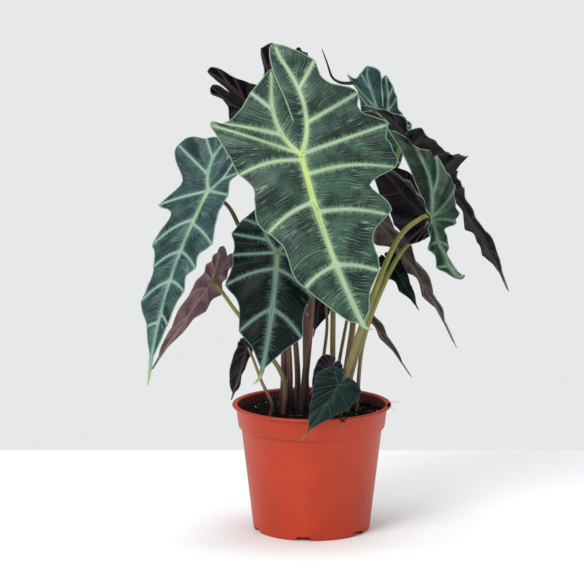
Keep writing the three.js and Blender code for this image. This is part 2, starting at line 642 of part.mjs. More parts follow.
function addPiece(name, geometry, material) {
  const mesh = new THREE.Mesh(geometry, material)
  mesh.name = name
  group.add(mesh)
}

addPiece('pot', makePot(), potMaterial)
addPiece('potting_soil', makeSoil(), soilMaterial)
for (const shape of shapes) {
  const sheet = bladeSheet(shape)
  const blade = thicken(sheet, bladeThickness, midribExtra)
  addPiece(`blade_${shape.name}`, blade, bladeMaterial)
  const seat = toSolid(thicken(sheet, bladeThickness + 2 * seatGap, midribExtra))
  const stalk = toSolid(stalkGeometry(shape, 0)).subtract(seat).subtract(toSolid(blade))
  addPiece(`stalk_${shape.name}`, fromSolid(largestPiece(stalk)), stalkMaterial)
}

export default group
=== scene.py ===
import math
import random

import bpy
import numpy as np
from mathutils import Matrix, Quaternion, Vector, noise


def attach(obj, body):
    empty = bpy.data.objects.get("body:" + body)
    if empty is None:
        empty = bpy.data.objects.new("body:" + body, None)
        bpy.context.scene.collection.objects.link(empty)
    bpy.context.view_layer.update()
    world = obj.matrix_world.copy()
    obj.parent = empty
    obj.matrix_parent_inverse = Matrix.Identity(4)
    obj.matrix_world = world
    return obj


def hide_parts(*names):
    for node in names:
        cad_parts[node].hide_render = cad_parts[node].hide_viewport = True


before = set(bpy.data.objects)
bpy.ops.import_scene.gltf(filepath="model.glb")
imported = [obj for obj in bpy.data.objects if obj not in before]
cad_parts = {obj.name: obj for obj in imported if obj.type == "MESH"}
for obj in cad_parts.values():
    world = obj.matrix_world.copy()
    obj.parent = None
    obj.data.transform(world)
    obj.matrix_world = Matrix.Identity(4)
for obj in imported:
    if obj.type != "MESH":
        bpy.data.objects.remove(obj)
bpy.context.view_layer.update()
mm = 0.001

# Camera, table and light

camera = {"lens": 163.4, "sensor": 36, "place": (-0.0235, -3.1, 0.822), "down": 9.8}
table = {"wide": 5.0, "front": -3.6, "back": 0.4, "colour": (244, 246, 246), "cloud": 0.97}
lights = [
    {"name": "windowLight", "place": (-1.5, -2.0, 2.1), "size": 1.6, "power": 72},
    {"name": "fillLight", "place": (1.9, -2.2, 1.3), "size": 2.0, "power": 18},
    {"name": "topLight", "place": (0.2, 0.3, 2.4), "size": 1.6, "power": 30},
]
lightAim = (0, 0, 0.28)
wall = {"colour": (231, 232, 233), "ambient": 0.52}


def deselectAll():
    bpy.ops.object.select_all(action="DESELECT")


def pick(*pieces):  # selects only these, the last one active
    deselectAll()
    for piece in pieces:
        piece.select_set(True)
    bpy.context.view_layer.objects.active = pieces[-1]


def inEditMode(piece):  # with all of it selected
    pick(piece)
    bpy.ops.object.mode_set(mode="EDIT")
    bpy.ops.mesh.select_mode(type="VERT")
    bpy.ops.mesh.select_all(action="SELECT")


def applyModifier(piece, kind, **settings):
    pick(piece)
    bpy.ops.object.modifier_add(type=kind)
    modifier = piece.modifiers[-1]
    for key, value in settings.items():
        setattr(modifier, key, value)
    bpy.ops.object.modifier_apply(modifier=modifier.name)


def settle(piece):  # leaves the object at the origin with its place in its mesh
    pick(piece)
    bpy.ops.object.transform_apply(location=True, rotation=True, scale=True)


def smoothShade(piece, angle):
    pick(piece)
    bpy.ops.object.shade_smooth_by_angle(angle=math.radians(angle))


def store(mesh, name, columns):  # keeps three values for each vertex, which a material reads
    layer = mesh.attributes.new(name, "FLOAT_VECTOR", "POINT")
    layer.data.foreach_set("vector", np.stack(columns, -1).ravel())


def placesOf(mesh):
    return np.array([vertex.co for vertex in mesh.vertices])


def paint(red, green, blue):  # screen colour 0..255 to a shader colour
    parts = [value / 255 for value in (red, green, blue)]
    return [p / 12.92 if p <= 0.04045 else ((p + 0.055) / 1.055) ** 2.4 for p in parts] + [1.0]


def mix(a, b, t):
    return a + (b - a) * t


# Small helpers for node trees

def addNode(tree, kind, **settings):
    made = tree.nodes.new("ShaderNode" + kind)
    for key, value in settings.items():
        setattr(made, key, value)
    return made


def feed(tree, socket, value):
    if isinstance(value, bpy.types.NodeSocket):
        tree.links.new(value, socket)
    else:
        socket.default_value = value


def calc(tree, operation, *values):
    made = addNode(tree, "Math", operation=operation)
    for socket, value in zip(made.inputs, values):
        feed(tree, socket, value)
    return made.outputs[0]


def times(tree, first, second):
    return calc(tree, "MULTIPLY", first, second)


def reachOf(tree, x, y):  # distance of (x, y) from the middle
    return calc(tree, "SQRT", calc(tree, "ADD", times(tree, x, x), times(tree, y, y)))


def fade(tree, value, low, high, start=0.0, end=1.0):  # smooth step from start to end
    made = addNode(tree, "MapRange", interpolation_type="SMOOTHSTEP")
    for socket, given in zip(made.inputs, (value, low, high, start, end)):
        feed(tree, socket, given)
    return made.outputs[0]


def mixColour(tree, share, first, second):
    made = addNode(tree, "Mix", data_type="RGBA")
    for key, given in zip((0, 6, 7), (share, first, second)):  # the sockets that mix colours
        feed(tree, made.inputs[key], given)
    return made.outputs[2]


def triple(tree, x, y, z):
    made = addNode(tree, "CombineXYZ")
    for socket, value in zip(made.inputs, (x, y, z)):
        feed(tree, socket, value)
    return made.outputs[0]


def split(tree, vector):
    made = addNode(tree, "SeparateXYZ")
    feed(tree, made.inputs[0], vector)
    return made.outputs


def attribute(tree, name):
    return addNode(tree, "Attribute", attribute_name=name).outputs["Vector"]


def grain(tree, vector, scale, detail=3.0, rough=0.5):
    made = addNode(tree, "TexNoise")
    feed(tree, made.inputs["Vector"], vector)
    made.inputs["Scale"].default_value = scale
    made.inputs["Detail"].default_value = detail
    made.inputs["Roughness"].default_value = rough
    return made.outputs["Fac"]


def placeOn(tree, stretch=(1, 1, 1)):  # the piece's own coordinates, in metres, stretched
    coordinates = addNode(tree, "TexCoord").outputs["Object"]
    made = addNode(tree, "Mapping")
    feed(tree, made.inputs["Vector"], coordinates)
    made.inputs["Scale"].default_value = stretch
    return made.outputs[0]


def newGroup(name, colours, values=(), outputs=("Colour", "Roughness", "Height")):
    tree = bpy.data.node_groups.new(name, "ShaderNodeTree")
    sockets = [(key, "INPUT", key in colours) for key in (*colours, *values)]
    sockets += [(key, "OUTPUT", key == "Colour") for key in outputs]
    for key, way, coloured in sockets:
        kind = "NodeSocketColor" if coloured else "NodeSocketFloat"
        tree.interface.new_socket(name=key, in_out=way, socket_type=kind)
    return tree, tree.nodes.new("NodeGroupInput").outputs, tree.nodes.new("NodeGroupOutput").inputs


def putOut(tree, result, colour, roughness, height):  # joins a group's outputs
    for key, value in (("Colour", colour), ("Roughness", roughness), ("Height", height)):
        feed(tree, result[key], value)
    return tree


def newMaterial(name, group, values, roughness=0.5, bump=0.0, depth=0.001, **shader):
    material = bpy.data.materials.new(name)
    material.use_nodes = True
    tree = material.node_tree
    principled = tree.nodes["Principled BSDF"]
    principled.inputs["Roughness"].default_value = roughness
    for key, value in shader.items():
        principled.inputs[key.replace("_", " ")].default_value = value
    pattern = addNode(tree, "Group", node_tree=group)
    for key, value in values.items():
        pattern.inputs[key].default_value = value
    feed(tree, principled.inputs["Base Color"], pattern.outputs["Colour"])
    if "Roughness" in pattern.outputs:
        feed(tree, principled.inputs["Roughness"], pattern.outputs["Roughness"])
    if bump:
        relief = addNode(tree, "Bump")
        relief.inputs["Strength"].default_value = bump
        relief.inputs["Distance"].default_value = depth
        feed(tree, relief.inputs["Height"], pattern.outputs["Height"])
        feed(tree, principled.inputs["Normal"], relief.outputs[0])
    return material


# The stage

def makeStage():
    bpy.ops.object.camera_add(location=camera["place"], rotation=(math.radians(90 - camera["down"]), 0, 0))
    eye = bpy.context.object
    eye.data.lens = camera["lens"]
    eye.data.sensor_width = camera["sensor"]
    bpy.context.scene.camera = eye
    for light in lights:
        bpy.ops.object.light_add(type="AREA", location=light["place"])
        lamp = bpy.context.object
        lamp.name = light["name"]
        lamp.data.shape = "DISK"
        lamp.data.size = light["size"]
        lamp.data.energy = light["power"]
        lamp.rotation_euler = (Vector(lightAim) - lamp.location).to_track_quat("-Z", "Y").to_euler()
    world = bpy.data.worlds.new("paleWall")
    bpy.context.scene.world = world
    world.use_nodes = True
    sky = world.node_tree.nodes["Background"]
    sky.inputs["Color"].default_value = paint(*wall["colour"])
    seen = world.node_tree.nodes.new("ShaderNodeLightPath").outputs["Is Camera Ray"]
    brightness = calc(world.node_tree, "MULTIPLY_ADD", seen, 1 - wall["ambient"], wall["ambient"])
    feed(world.node_tree, sky.inputs["Strength"], brightness)
    bpy.context.scene.view_settings.view_transform = "Standard"

    deselectAll()
    bpy.ops.mesh.primitive_plane_add(size=1)
    top = bpy.context.object
    top.name = "tableTop"
    top.scale = (table["wide"], table["back"] - table["front"], 1)
    top.location = (0, (table["back"] + table["front"]) / 2, 0)
    settle(top)
    group, _, result = newGroup("tableGrain", (), outputs=("Colour",))
    cloud = grain(group, placeOn(group), 3.0)
    light = paint(*table["colour"])
    shade = [part * table["cloud"] for part in light[:3]] + [1]
    feed(group, result["Colour"], mixColour(group, cloud, light, shade))
    top.data.materials.append(newMaterial("paleTable", group, {}, roughness=0.6))


makeStage()
print("camera, table and light")

# Leaf finishes
# Each blade carries three attributes, in millimetres: "vein" (distance to the nearest main vein,
# place along it, its half width), "net" (along the edge, out from the midrib, distance to the edge)
# and "flat" (along the midrib, beside it, 1 at the tip).

upperFinishes = {
    "bright": {
        "Deep": (5, 29, 27), "Light": (50, 82, 66), "Line": (138, 164, 136), "Fringe": (116, 145, 114),
        "Core": (190, 210, 120), "Outer": (158, 182, 154), "Edge": (128, 158, 130), "Tip": (150, 172, 130),
        "Glow": 170.0, "Net": 0.6,
    },
    "blueGreen": {
        "Deep": (6, 34, 37), "Light": (44, 78, 76), "Line": (110, 142, 132), "Fringe": (86, 120, 112),
        "Core": (166, 196, 120), "Outer": (138, 166, 148), "Edge": (120, 152, 138), "Tip": (150, 168, 124),
        "Glow": 110.0, "Net": 0.55,
    },
    "dark": {
        "Deep": (0, 5, 7), "Light": (1, 17, 18), "Line": (66, 98, 84), "Fringe": (62, 90, 80),
        "Core": (116, 138, 92), "Outer": (104, 130, 116), "Edge": (84, 114, 98), "Tip": (150, 160, 110),
        "Glow": 34.0, "Net": 0.36,
    },
    "dim": {
        "Deep": (1, 13, 14), "Light": (4, 32, 30), "Line": (26, 52, 46), "Fringe": (12, 38, 34),
        "Core": (78, 106, 90), "Outer": (34, 64, 54), "Edge": (32, 62, 52), "Tip": (96, 104, 84),
        "Glow": 30.0, "Net": 0.25,
    },
    "green": {
        "Deep": (1, 18, 12), "Light": (10, 50, 32), "Line": (74, 104, 84), "Fringe": (70, 98, 78),
        "Core": (118, 142, 104), "Outer": (104, 132, 108), "Edge": (104, 134, 112), "Tip": (110, 130, 100),
        "Glow": 40.0, "Net": 0.3,
    },
}
lowerFinishes = {
    "purpleBlack": {"Deep": (6, 4, 8), "Light": (28, 18, 26), "Rib": (62, 47, 56), "Tip": (96, 84, 84)},
    "dusky": {"Deep": (58, 42, 46), "Light": (98, 82, 80), "Rib": (122, 106, 100), "Tip": (128, 114, 106)},
    "mauve": {"Deep": (102, 70, 82), "Light": (142, 110, 116), "Rib": (166, 136, 128), "Tip": (118, 98, 92)},
}


# Cells in millimetres, bands in half widths of their vein, strengths from 0 to 1
marks = {
    "cellWidth": 4.6, "cellLength": 80.0, "cellDrift": 3.0, "unevenness": 0.9, "bandReach": 1.25,
    # one strength here is for the painted shade down the middle of the main veins
    "feather": 2.1, "band": 0.86, "core": 0.92, "paintedGrooveShade": 0.6, "speck": 0.25, "underLine": 0.25,
    "edge": (0.5, 1.6), "roughness": 0.42,
}


def veinlets(tree, along, out, flatPlace):  # distance to the sides of long bent cells that run outwards
    drift = times(tree, grain(tree, flatPlace, 0.03, 2, 0.5), marks["cellDrift"])
    along = calc(tree, "ADD", drift, calc(tree, "DIVIDE", along, marks["cellWidth"]))
    outwards = calc(tree, "DIVIDE", out, marks["cellLength"])
    cells = addNode(tree, "TexVoronoi", feature="DISTANCE_TO_EDGE", voronoi_dimensions="2D")
    feed(tree, cells.inputs["Vector"], triple(tree, along, outwards, 0))
    cells.inputs["Scale"].default_value = 1
    cells.inputs["Randomness"].default_value = marks["unevenness"]
    return cells.outputs["Distance"]


def makeUpperGroup():
    tree, given, result = newGroup(
        "upperSide", ("Deep", "Light", "Line", "Fringe", "Core", "Outer", "Edge", "Tip"), ("Glow", "Net"))
    gap, run, wide = split(tree, attribute(tree, "vein"))
    along, out, edge = split(tree, attribute(tree, "net"))
    flatPlace = attribute(tree, "flat")
    u, v, tip = split(tree, flatPlace)
    across = calc(tree, "DIVIDE", gap, wide)

    # pale band beside the main veins, feathered like fine hairs
    hair = triple(tree, times(tree, run, 0.5), times(tree, gap, 0.07), 0)
    feather = fade(tree, grain(tree, hair, 1.0, 3), 0.34, 0.68)
    reach = calc(tree, "MULTIPLY_ADD", feather, marks["feather"], marks["bandReach"])
    band = fade(tree, across, 0.45, reach, 1.0, 0.0)
    core = fade(tree, across, 0.24, 0.95, 1.0, 0.0)
    # painted shade: a thin darker line down the middle of the main veins, shown here and there, stands in
    # for the shade in their groove
    paintedGrooveShade = fade(tree, across, 0.04, 0.16, 1.0, 0.0)
    paintedGrooveShadeShown = fade(tree, grain(tree, flatPlace, 0.02, 2), 0.42, 0.6)

    # veinlets: the sides of long cells, here thin and there lost
    apart = veinlets(tree, along, out, flatPlace)
    shown = fade(tree, grain(tree, flatPlace, 0.05, 3, 0.6), 0.36, 0.62, 0.12, 1.0)
    shown = times(tree, shown, fade(tree, edge, 0.5, 4.0))
    shown = times(tree, shown, fade(tree, edge, 10, 70, 1.0, 0.45))
    line = fade(tree, apart, 0.0, calc(tree, "MULTIPLY_ADD", shown, 0.05, 0.035), 1.0, 0.0)
    line = times(tree, times(tree, line, shown), given["Net"])

    cloud = fade(tree, grain(tree, flatPlace, 0.03, 5, 0.62), 0.38, 0.64)
    base = mixColour(tree, cloud, given["Deep"], given["Light"])
    speck = fade(tree, grain(tree, flatPlace, 0.5, 4, 0.7), 0.35, 0.7)
    base = mixColour(tree, times(tree, speck, marks["speck"]), base, given["Deep"])
    base = mixColour(tree, line, base, given["Line"])
    base = mixColour(tree, times(tree, band, marks["band"]), base, given["Fringe"])

    # vein colour: brightest near the stalk and on the widest veins
    heart = fade(tree, calc(tree, "DIVIDE", reachOf(tree, u, v), given["Glow"]), 0.15, 1.0, 1, 0)
    heart = times(tree, heart, fade(tree, wide, 2.9, 4.4, 0.12, 1.0))
    middle = mixColour(tree, heart, given["Outer"], given["Core"])
    base = mixColour(tree, times(tree, core, marks["core"]), base, middle)
    # the painted groove shade pulls the vein's middle towards the Light colour
    paintedGrooveShadeShown = times(tree, times(tree, paintedGrooveShade, paintedGrooveShadeShown), marks["paintedGrooveShade"])
    base = mixColour(tree, paintedGrooveShadeShown, base, given["Light"])
    base = mixColour(tree, fade(tree, edge, *marks["edge"], 0.85, 0), base, given["Edge"])
    base = mixColour(tree, tip, base, given["Tip"])
    rough = calc(tree, "MULTIPLY_ADD", speck, 0.1, marks["roughness"])
    rough = calc(tree, "MULTIPLY_ADD", band, 0.12, rough)
    furrow = times(tree, fade(tree, apart, 0.0, 0.14, 1, 0), 0.6)
    sunk = calc(tree, "MULTIPLY_ADD", core, 0.5, furrow)
    return putOut(tree, result, base, rough, calc(tree, "SUBTRACT", times(tree, speck, 0.2), sunk))


def makeLowerGroup():
    tree, given, result = newGroup("underSide", ("Deep", "Light", "Rib", "Tip"))
    gap, _, wide = split(tree, attribute(tree, "vein"))
    along, out, edge = split(tree, attribute(tree, "net"))
    flatPlace = attribute(tree, "flat")
    tip = split(tree, flatPlace)[2]
    line = fade(tree, veinlets(tree, along, out, flatPlace), 0.01, 0.1, 1.0, 0.0)
    cloud = fade(tree, grain(tree, flatPlace, 0.05, 5, 0.6), 0.34, 0.68)
    base = mixColour(tree, cloud, given["Deep"], given["Light"])
    base = mixColour(tree, times(tree, line, marks["underLine"]), base, given["Rib"])
    rib = fade(tree, calc(tree, "DIVIDE", gap, wide), 0.35, 0.9, 0.85, 0)
    base = mixColour(tree, rib, base, given["Rib"])
    base = mixColour(tree, fade(tree, edge, 0.4, 1.6, 0.7, 0), base, given["Rib"])
    base = mixColour(tree, tip, base, given["Tip"])
    rough = calc(tree, "MULTIPLY_ADD", cloud, 0.12, marks["roughness"])
    return putOut(tree, result, base, rough, calc(tree, "SUBTRACT", line, times(tree, cloud, 0.2)))


def coloursOf(finish):
    return {key: paint(*value) if isinstance(value, tuple) else value for key, value in finish.items()}


upperGloss = {"bright": 0.32, "blueGreen": 0.36, "dark": 0.13, "green": 0.26, "dim": 0.16}
lowerGloss = 0.22
upperGroup = makeUpperGroup()
lowerGroup = makeLowerGroup()
upperMaterials = {
    name: newMaterial(f"upper_{name}", upperGroup, coloursOf(finish), bump=0.4, depth=0.6 * mm,
                      Specular_IOR_Level=upperGloss[name])
    for name, finish in upperFinishes.items()
}
lowerMaterials = {
    name: newMaterial(f"under_{name}", lowerGroup, coloursOf(finish), bump=0.3, depth=0.5 * mm,
                      Specular_IOR_Level=lowerGloss)
    for name, finish in lowerFinishes.items()
}

# Leaf shapes
# Millimetres, as in the CAD: where blade and stalk meet, where the midrib points, where the upper side
# faces, then lengths. Pairs are for the left and the right half, seen from above with the tip down.
# Edges are measured vein ends, from the rear lobe to the tip.

standard = {
    "drip": 25, "sinus": 0.3, "slit": 0.05, "lobeTip": 0.22, "droop": 25, "sweep": 0, "twist": 0,
    "lobeBend": 10, "tipCurl": 1, "fold": (10, 10), "curl": (-20, -20), "wave": 4, "bulge": 3,
    "scallop": 0.16, "hollows": ((), ()), "veins": (0.07, 0.3, 0.6), "fullness": 1.5,
    "edges": (None, None), "notches": (None, None), "lobeLift": (0, 0), "dripTurn": 0,
    "lobeSweep": 0, "frontFold": None, "veinStarts": ((), ()), "sways": ((), ()), "tipWidth": 0.045,
    "upper": "green", "lower": "purpleBlack", "rib": 1.0, "quilt": 1.0, "ruffle": 0.7, "teeth": 0.03,
}
leaves = {
    "front_main": {
        "at": (-13, -84.6, 461), "along": (0.234, -0.2, -0.97), "face": (0.05, -1, 0.3), "length": 208,
        "lobe": 130, "half": 104, "drip": 16, "droop": 12, "sweep": 15, "lobeBend": 6,
        "dripTurn": 70, "veins": (0.07, 0.3, 0.64), "fold": (5, 5), "curl": (-30, -30), "lobeLift": (-2, 6),
        "edges": (
            ((-104, 11), (-84, 40), (-57, 79), (-60, 95), (6, 76), (75, 62), (144, 43)),
            ((-131, -1), (-103, 41), (-56, 83), (-14, 114), (44, 109), (100, 80), (160, 44)),
        ),
        "notches": (((-58, 2), (-84, 5)), ((-60, -3), (-106, -10))),
        "hollows": ((0.05, 0.1, 0.02, 0, 0.03, 0.06, 0.02), (0.04, 0.27, 0.2, 0.06, 0.25, 0.2, 0.15)),
        "sways": ((0, 0, 0, 0, 0.09, 0.08), (0, 0.08, 0.03, 0.04, 0.12, 0.05)),
        "veinStarts": ((0.03, 0.27, 0.64), (0.115, 0.33, 0.64)), "tipWidth": 0.13,
        "upper": "bright", "rib": 1.15, "quilt": 1.4,
        "stalk": ((-13, -6), (-8, -8, 182), (0, -16, 280), (0, -44, 373), (-7, -68, 429), (-13, -84, 459)),
        "radii": (5.6, 2.6), "skin": "russet",
    },
    "left_hanging": {
        "at": (-121, -20, 410), "along": (-0.48, -0.16, -0.86), "face": (-0.38, -1, 0.3), "length": 215,
        "lobe": 78, "half": 74, "drip": 26, "droop": 10, "sweep": 20, "fold": (0, 34), "curl": (-25, -25),
        "veins": (0.17, 0.36, 0.53, 0.75), "sinus": 0.55,
        "veinStarts": ((0.17, 0.36, 0.53, 0.77), (0.2, 0.36, 0.53, 0.72)),
        "edges": (
            ((-66, 14), (-56, 42), (-34, 76), (40, 57), (84, 42), (107, 30), (148, 32), (174, 15)),
            ((-72, 8), (-54, 20), (-34, 30), (-6, 33), (56, 45), (90, 34), (121, 28), (165, 17)),
        ),
        "hollows": (
            (0.08, 0.05, 0.42, 0.4, 0.12, 0.25, 0.1, 0),
            (0.1, 0.1, 0.1, 0.02, 0.1, 0.05, -0.1, -0.2),
        ),
        "sways": ((0, 0, -0.15, 0.05), ()), "notches": (((-50, 1), (-60, 4)), ((-50, 1), (-62, 2))),
        "upper": "blueGreen", "quilt": 1.6,
        "stalk": ((-36, -2), (-33, -3, 193), (-37, -2, 253), (-59, 0, 313), (-85, 2, 363), (-99, -4, 390),
                  (-121, -19, 410)),
        "radii": (4.6, 2.2), "skin": "russet",
    },
    "lower_centre": {
        "at": (-41, -56, 343), "along": (-0.05, -0.16, -0.98), "face": (-0.05, -1, 0.1), "length": 142,
        "lobe": 54, "half": 60, "drip": 18, "droop": 5, "sweep": -10, "dripTurn": -50, "fold": (3, 3),
        "curl": (-25, -25), "veins": (0.13, 0.46),
        "edges": (
            ((-54, 20), (-38, 42), (-20, 56), (6, 54), (45, 60), (99, 35)),
            ((-53, 14), (-38, 31), (-17, 42), (9, 44), (48, 45), (95, 39)),
        ),
        "hollows": ((0.05, 0.05, 0.08, 0.1, 0.2, 0.15), (0.1, 0.1, 0.1, 0.1, 0.14, 0.12)),
        "upper": "dark", "rib": 1.3, "quilt": 1.5,
        "stalk": ((-27, -12), (-26, -16, 195), (-31, -30, 270), (-39, -50, 331), (-41, -56, 343)),
        "radii": (4.4, 2.2), "skin": "russet",
    },
    "left_under": {
        "at": (-118, -2, 301), "along": (-0.57, -0.22, -0.78), "face": (-0.74, 0.38, 0.48), "length": 120,
        "lobe": 40, "half": 42, "drip": 12, "slit": 0.02, "droop": 6, "sweep": 12, "twist": -5,
        "lobeBend": -8, "fold": (2, 12), "curl": (-14, -16), "wave": 1.5, "scallop": 0.05,
        "veins": (0.1, 0.45),
        "edges": (
            ((-42, 18), (-33, 29), (-14, 31), (4, 42), (31, 36), (70, 19)),
            ((-40, 22), (-30, 31), (-16, 35), (0, 34), (31, 34), (82, 20)),
        ),
        "lower": "mauve", "quilt": 0.3,
        "stalk": ((-34, -20), (-33, -20, 184), (-59, -16, 226), (-91, -12, 267), (-109, -8, 292),
                  (-118, -2, 301)),
        "radii": (3.6, 2), "skin": "olive",
    },
    "left_small": {
        "at": (-76, -44, 229), "along": (-0.26, -0.24, -0.92), "face": (-0.6, 0.75, 0.1), "length": 60,
        "lobe": 12, "half": 24, "drip": 6, "droop": -5, "fold": (8, 8), "curl": (-12, -12), "wave": 1,
        "bulge": 1, "scallop": 0.04, "veins": (0.1, 0.45), "quilt": 0.5,
        "edges": (
            ((-10, 6), (-8, 9), (-4, 11), (6, 10), (28, 6), (49, 6)),
            ((-10, 6), (-8, 11), (-4, 14), (4, 15), (24, 17), (45, 11)),
        ),
        "stalk": ((-50, -34), (-47, -38, 158), (-59, -42, 186), (-70, -46, 217), (-76, -44, 229)),
        "radii": (3.2, 1.4), "skin": "tan",
    },
    "front_small": {
        "at": (31, -90, 193), "along": (-0.56, -0.3, -0.78), "face": (0, -1, 0.4), "length": 64,
        "lobe": 20, "half": 32, "drip": 17, "droop": 8, "fold": (5, 5), "wave": 1, "bulge": 1.5,
        "scallop": 0.05, "veins": (0.08, 0.4), "rib": 0.42, "quilt": 0.5, "upper": "dim",
        "edges": (
            ((-16, 14), (-7, 25), (7, 29), (22, 23), (38, 16), (50, 9)),
            ((-14, 8), (-13, 17), (-9, 25), (2, 29), (19, 25), (38, 14)),
        ),
        "stalk": ((33, -66), (34, -74, 165), (31, -89, 192)),
        "radii": (2.6, 1.6), "skin": "tan",
    },
    "right_folded": {
        "at": (139, -30, 381), "along": (0.28, -0.25, -0.92), "face": (0.35, -1, 0.35), "length": 92,
        "lobe": 86, "half": 62, "drip": 6, "droop": -115, "tipCurl": 4, "sweep": 8, "lobeSweep": 55,
        "fold": (45, -5), "frontFold": (0, -5), "curl": (160, -30), "bulge": 4, "wave": 5,
        "veins": (0.05, 0.32, 0.66), "quilt": 3.5, "ruffle": 4, "teeth": 0.3,
        "edges": (
            ((-80, 6), (-62, 13), (-36, 18), (-8, 18), (17, 18), (38, 24), (62, 26)),
            ((-90, 60), (-68, 59), (-50, 75), (-22, 65), (15, 41), (40, 12), (78, 8)),
        ),
        "notches": (((-46, 4), (-70, 8)), ((-46, 8), (-72, 30))),
        "hollows": ((0.05, 0.05, 0.05, 0.05, 0.1, 0.3, 0.2), (0.05, 0.1, 0.18, 0.25, 0.5, 0.5, 0.2)),
        "sways": ((), (0, 0, 0, 0.06, 0.1)),
        "stalk": ((30, -12), (39, -14, 183), (69, -16, 276), (100, -18, 351), (128, -20, 378),
                  (139, -29, 381)),
        "radii": (5.8, 2.4), "skin": "olive",
    },
    "far_right": {
        "at": (111, 70, 465), "along": (0.72, 0.03, -0.68), "face": (0.5, 0.45, 0.6), "length": 215,
        "lobe": 64, "half": 60, "drip": 14, "droop": 28, "fold": (10, 12), "curl": (8, -20), "wave": 2,
        "veins": (0.08, 0.2, 0.3, 0.42, 0.6, 0.8), "ruffle": 2.2, "teeth": 0.2,
        "edges": (
            ((-60, -2), (-46, 11), (-29, 22), (-4, 26), (15, 34), (47, 42), (62, 66), (94, 28), (129, 9),
             (185, 10)),
            ((-54, 36), (-44, 27), (-21, 17), (-8, 16), (20, 17), (48, 18), (72, 18), (98, 14), (138, 30),
             (176, 28)),
        ),
        "hollows": (
            (0.02, 0.05, 0.05, 0.05, 0.03, 0.25, 0.6, 0.35, -0.4, 0.05, 0.1),
            (0.05, 0.05, 0.05, 0.05, 0.05, 0.05, 0.05, 0.05, 0.1, 0.1, 0.1),
        ),
        "sways": ((0, 0, 0, 0, 0, 0, 0, 0.2), ()),
        "stalk": ((40, 32), (46, 54, 186), (55, 80, 269), (75, 92, 350), (98, 88, 420), (111, 71, 464)),
        "radii": (5, 2.4), "skin": "olive",
    },
    "back_upright": {
        "at": (87, 105, 475), "along": (0, 0.15, -0.98), "face": (-0.1, -1, -0.3), "length": 90,
        "lobe": 72, "half": 34, "drip": 10, "slit": 0.04, "droop": 5, "lobeBend": -5,
        "wave": 2, "bulge": 2, "veins": (0.1, 0.42),
        "edges": (
            ((-73, 19), (-64, 28), (-60, 45), (-38, 31), (18, 30), (48, 20)),
            ((-62, 3), (-49, 12), (-35, 17), (-14, 24), (1, 36), (50, 22)),
        ),
        "notches": (((-42, 2), (-66, 4)), ((-40, -1), (-54, -3))), "lobeLift": (-1, 1.5),
        "hollows": ((-0.05, 0.15, 0.1, 0.1, 0.1, 0.1), (-0.05, 0.02, 0.1, 0.1, 0.1, 0.1)),
        "upper": "blueGreen",
        "stalk": ((22, 14), (25, 22, 188), (27, 44, 290), (36, 78, 380), (56, 106, 425), (78, 115, 459),
                  (87, 106, 474)),
        "radii": (4.2, 2), "skin": "olive",
    },
    "back_left": {
        "at": (-71, 62, 494), "along": (0.7, 0.22, -0.66), "face": (-0.2, 0.8, 0.45), "length": 72,
        "lobe": 76, "half": 40, "drip": 5, "sinus": 0.5, "slit": 0.04, "droop": 10, "wave": 2.5,
        "veins": (0.1, 0.5),
        "edges": (
            ((-78, 3), (-73, 14), (-48, 19), (-22, 30), (20, 34), (46, 22)),
            ((-60, 8), (-54, 16), (-34, 13), (-14, 26), (20, 32), (46, 20)),
        ),
        "notches": (((-46, 0.8), (-64, 0.8)), ((-44, 0.8), (-54, 2))),
        "hollows": ((0.05, 0.12, 0.1, 0.1, 0.1, 0.1), (0.05, 0.1, 0.1, 0.1, 0.1, 0.1)),
        "stalk": ((-18, 18), (-17, 28, 188), (-25, 42, 272), (-44, 56, 404), (-62, 58, 466),
                  (-71, 61.5, 493)),
        "radii": (4.4, 2.2), "skin": "russet",
    },
    "back_centre": {
        "at": (-33, 28, 479), "along": (-0.04, -0.05, -0.97), "face": (-0.15, 1, 0.15), "length": 150,
        "lobe": 97, "half": 54, "drip": 14, "slit": 0.06, "droop": 8, "fold": (5, 5),
        "edges": (
            ((-97, 12), (-91, 23), (-62, 30), (-20, 44), (30, 52), (64, 42), (104, 24)),
            ((-101, 20), (-95, 34), (-62, 28), (-22, 40), (30, 48), (64, 40), (104, 24)),
        ),
        "stalk": ((-6, 8), (-7, 10, 191), (-9, 8, 277), (-16, 2, 375), (-28, 10, 455), (-33, 27, 478)),
        "radii": (4.4, 2.2), "skin": "russet",
    },
    "right_inner": {
        "at": (138, 12, 369), "along": (-0.68, 0.15, 0.72), "face": (-0.3, 0.9, -0.3), "length": 108,
        "lobe": 14, "half": 41, "drip": 4, "droop": 8, "veins": (0.1, 0.45),
        "stalk": ((42, -4), (46, -2, 186), (75, 2, 271), (103, 6, 329), (130, 10, 358), (138, 12, 369)),
        "radii": (5.2, 2.2), "skin": "olive",
    },
    "right_low": {
        "at": (65, 42, 385), "along": (0.66, -0.1, -0.74), "face": (0.6, 0.35, 0.6), "length": 180,
        "lobe": 44, "half": 44, "drip": 26, "droop": 14, "sweep": 14, "fold": (8, 0),
        "veins": (0.12, 0.38, 0.65), "lower": "dusky",
        "stalk": ((34, 8), (41, 12, 190), (53, 25, 272), (62, 38, 343), (65, 42, 385)),
        "radii": (4.4, 2), "skin": "tan",
    },
    "right_young": {
        "at": (91, 26, 320), "along": (0.56, -0.25, -0.8), "face": (0.56, -0.68, 0.47), "length": 66,
        "lobe": 10, "half": 20, "drip": 4, "droop": 6, "wave": 2, "bulge": 1, "veins": (0.12, 0.5),
        "rib": 0.5, "quilt": 0.5, "upper": "dim",
        "stalk": ((54, 4), (60, 10, 214), (78, 18, 274), (89, 25, 311), (91, 26, 320)),
        "radii": (3, 1.4), "skin": "olive",
    },
    "low_right": {
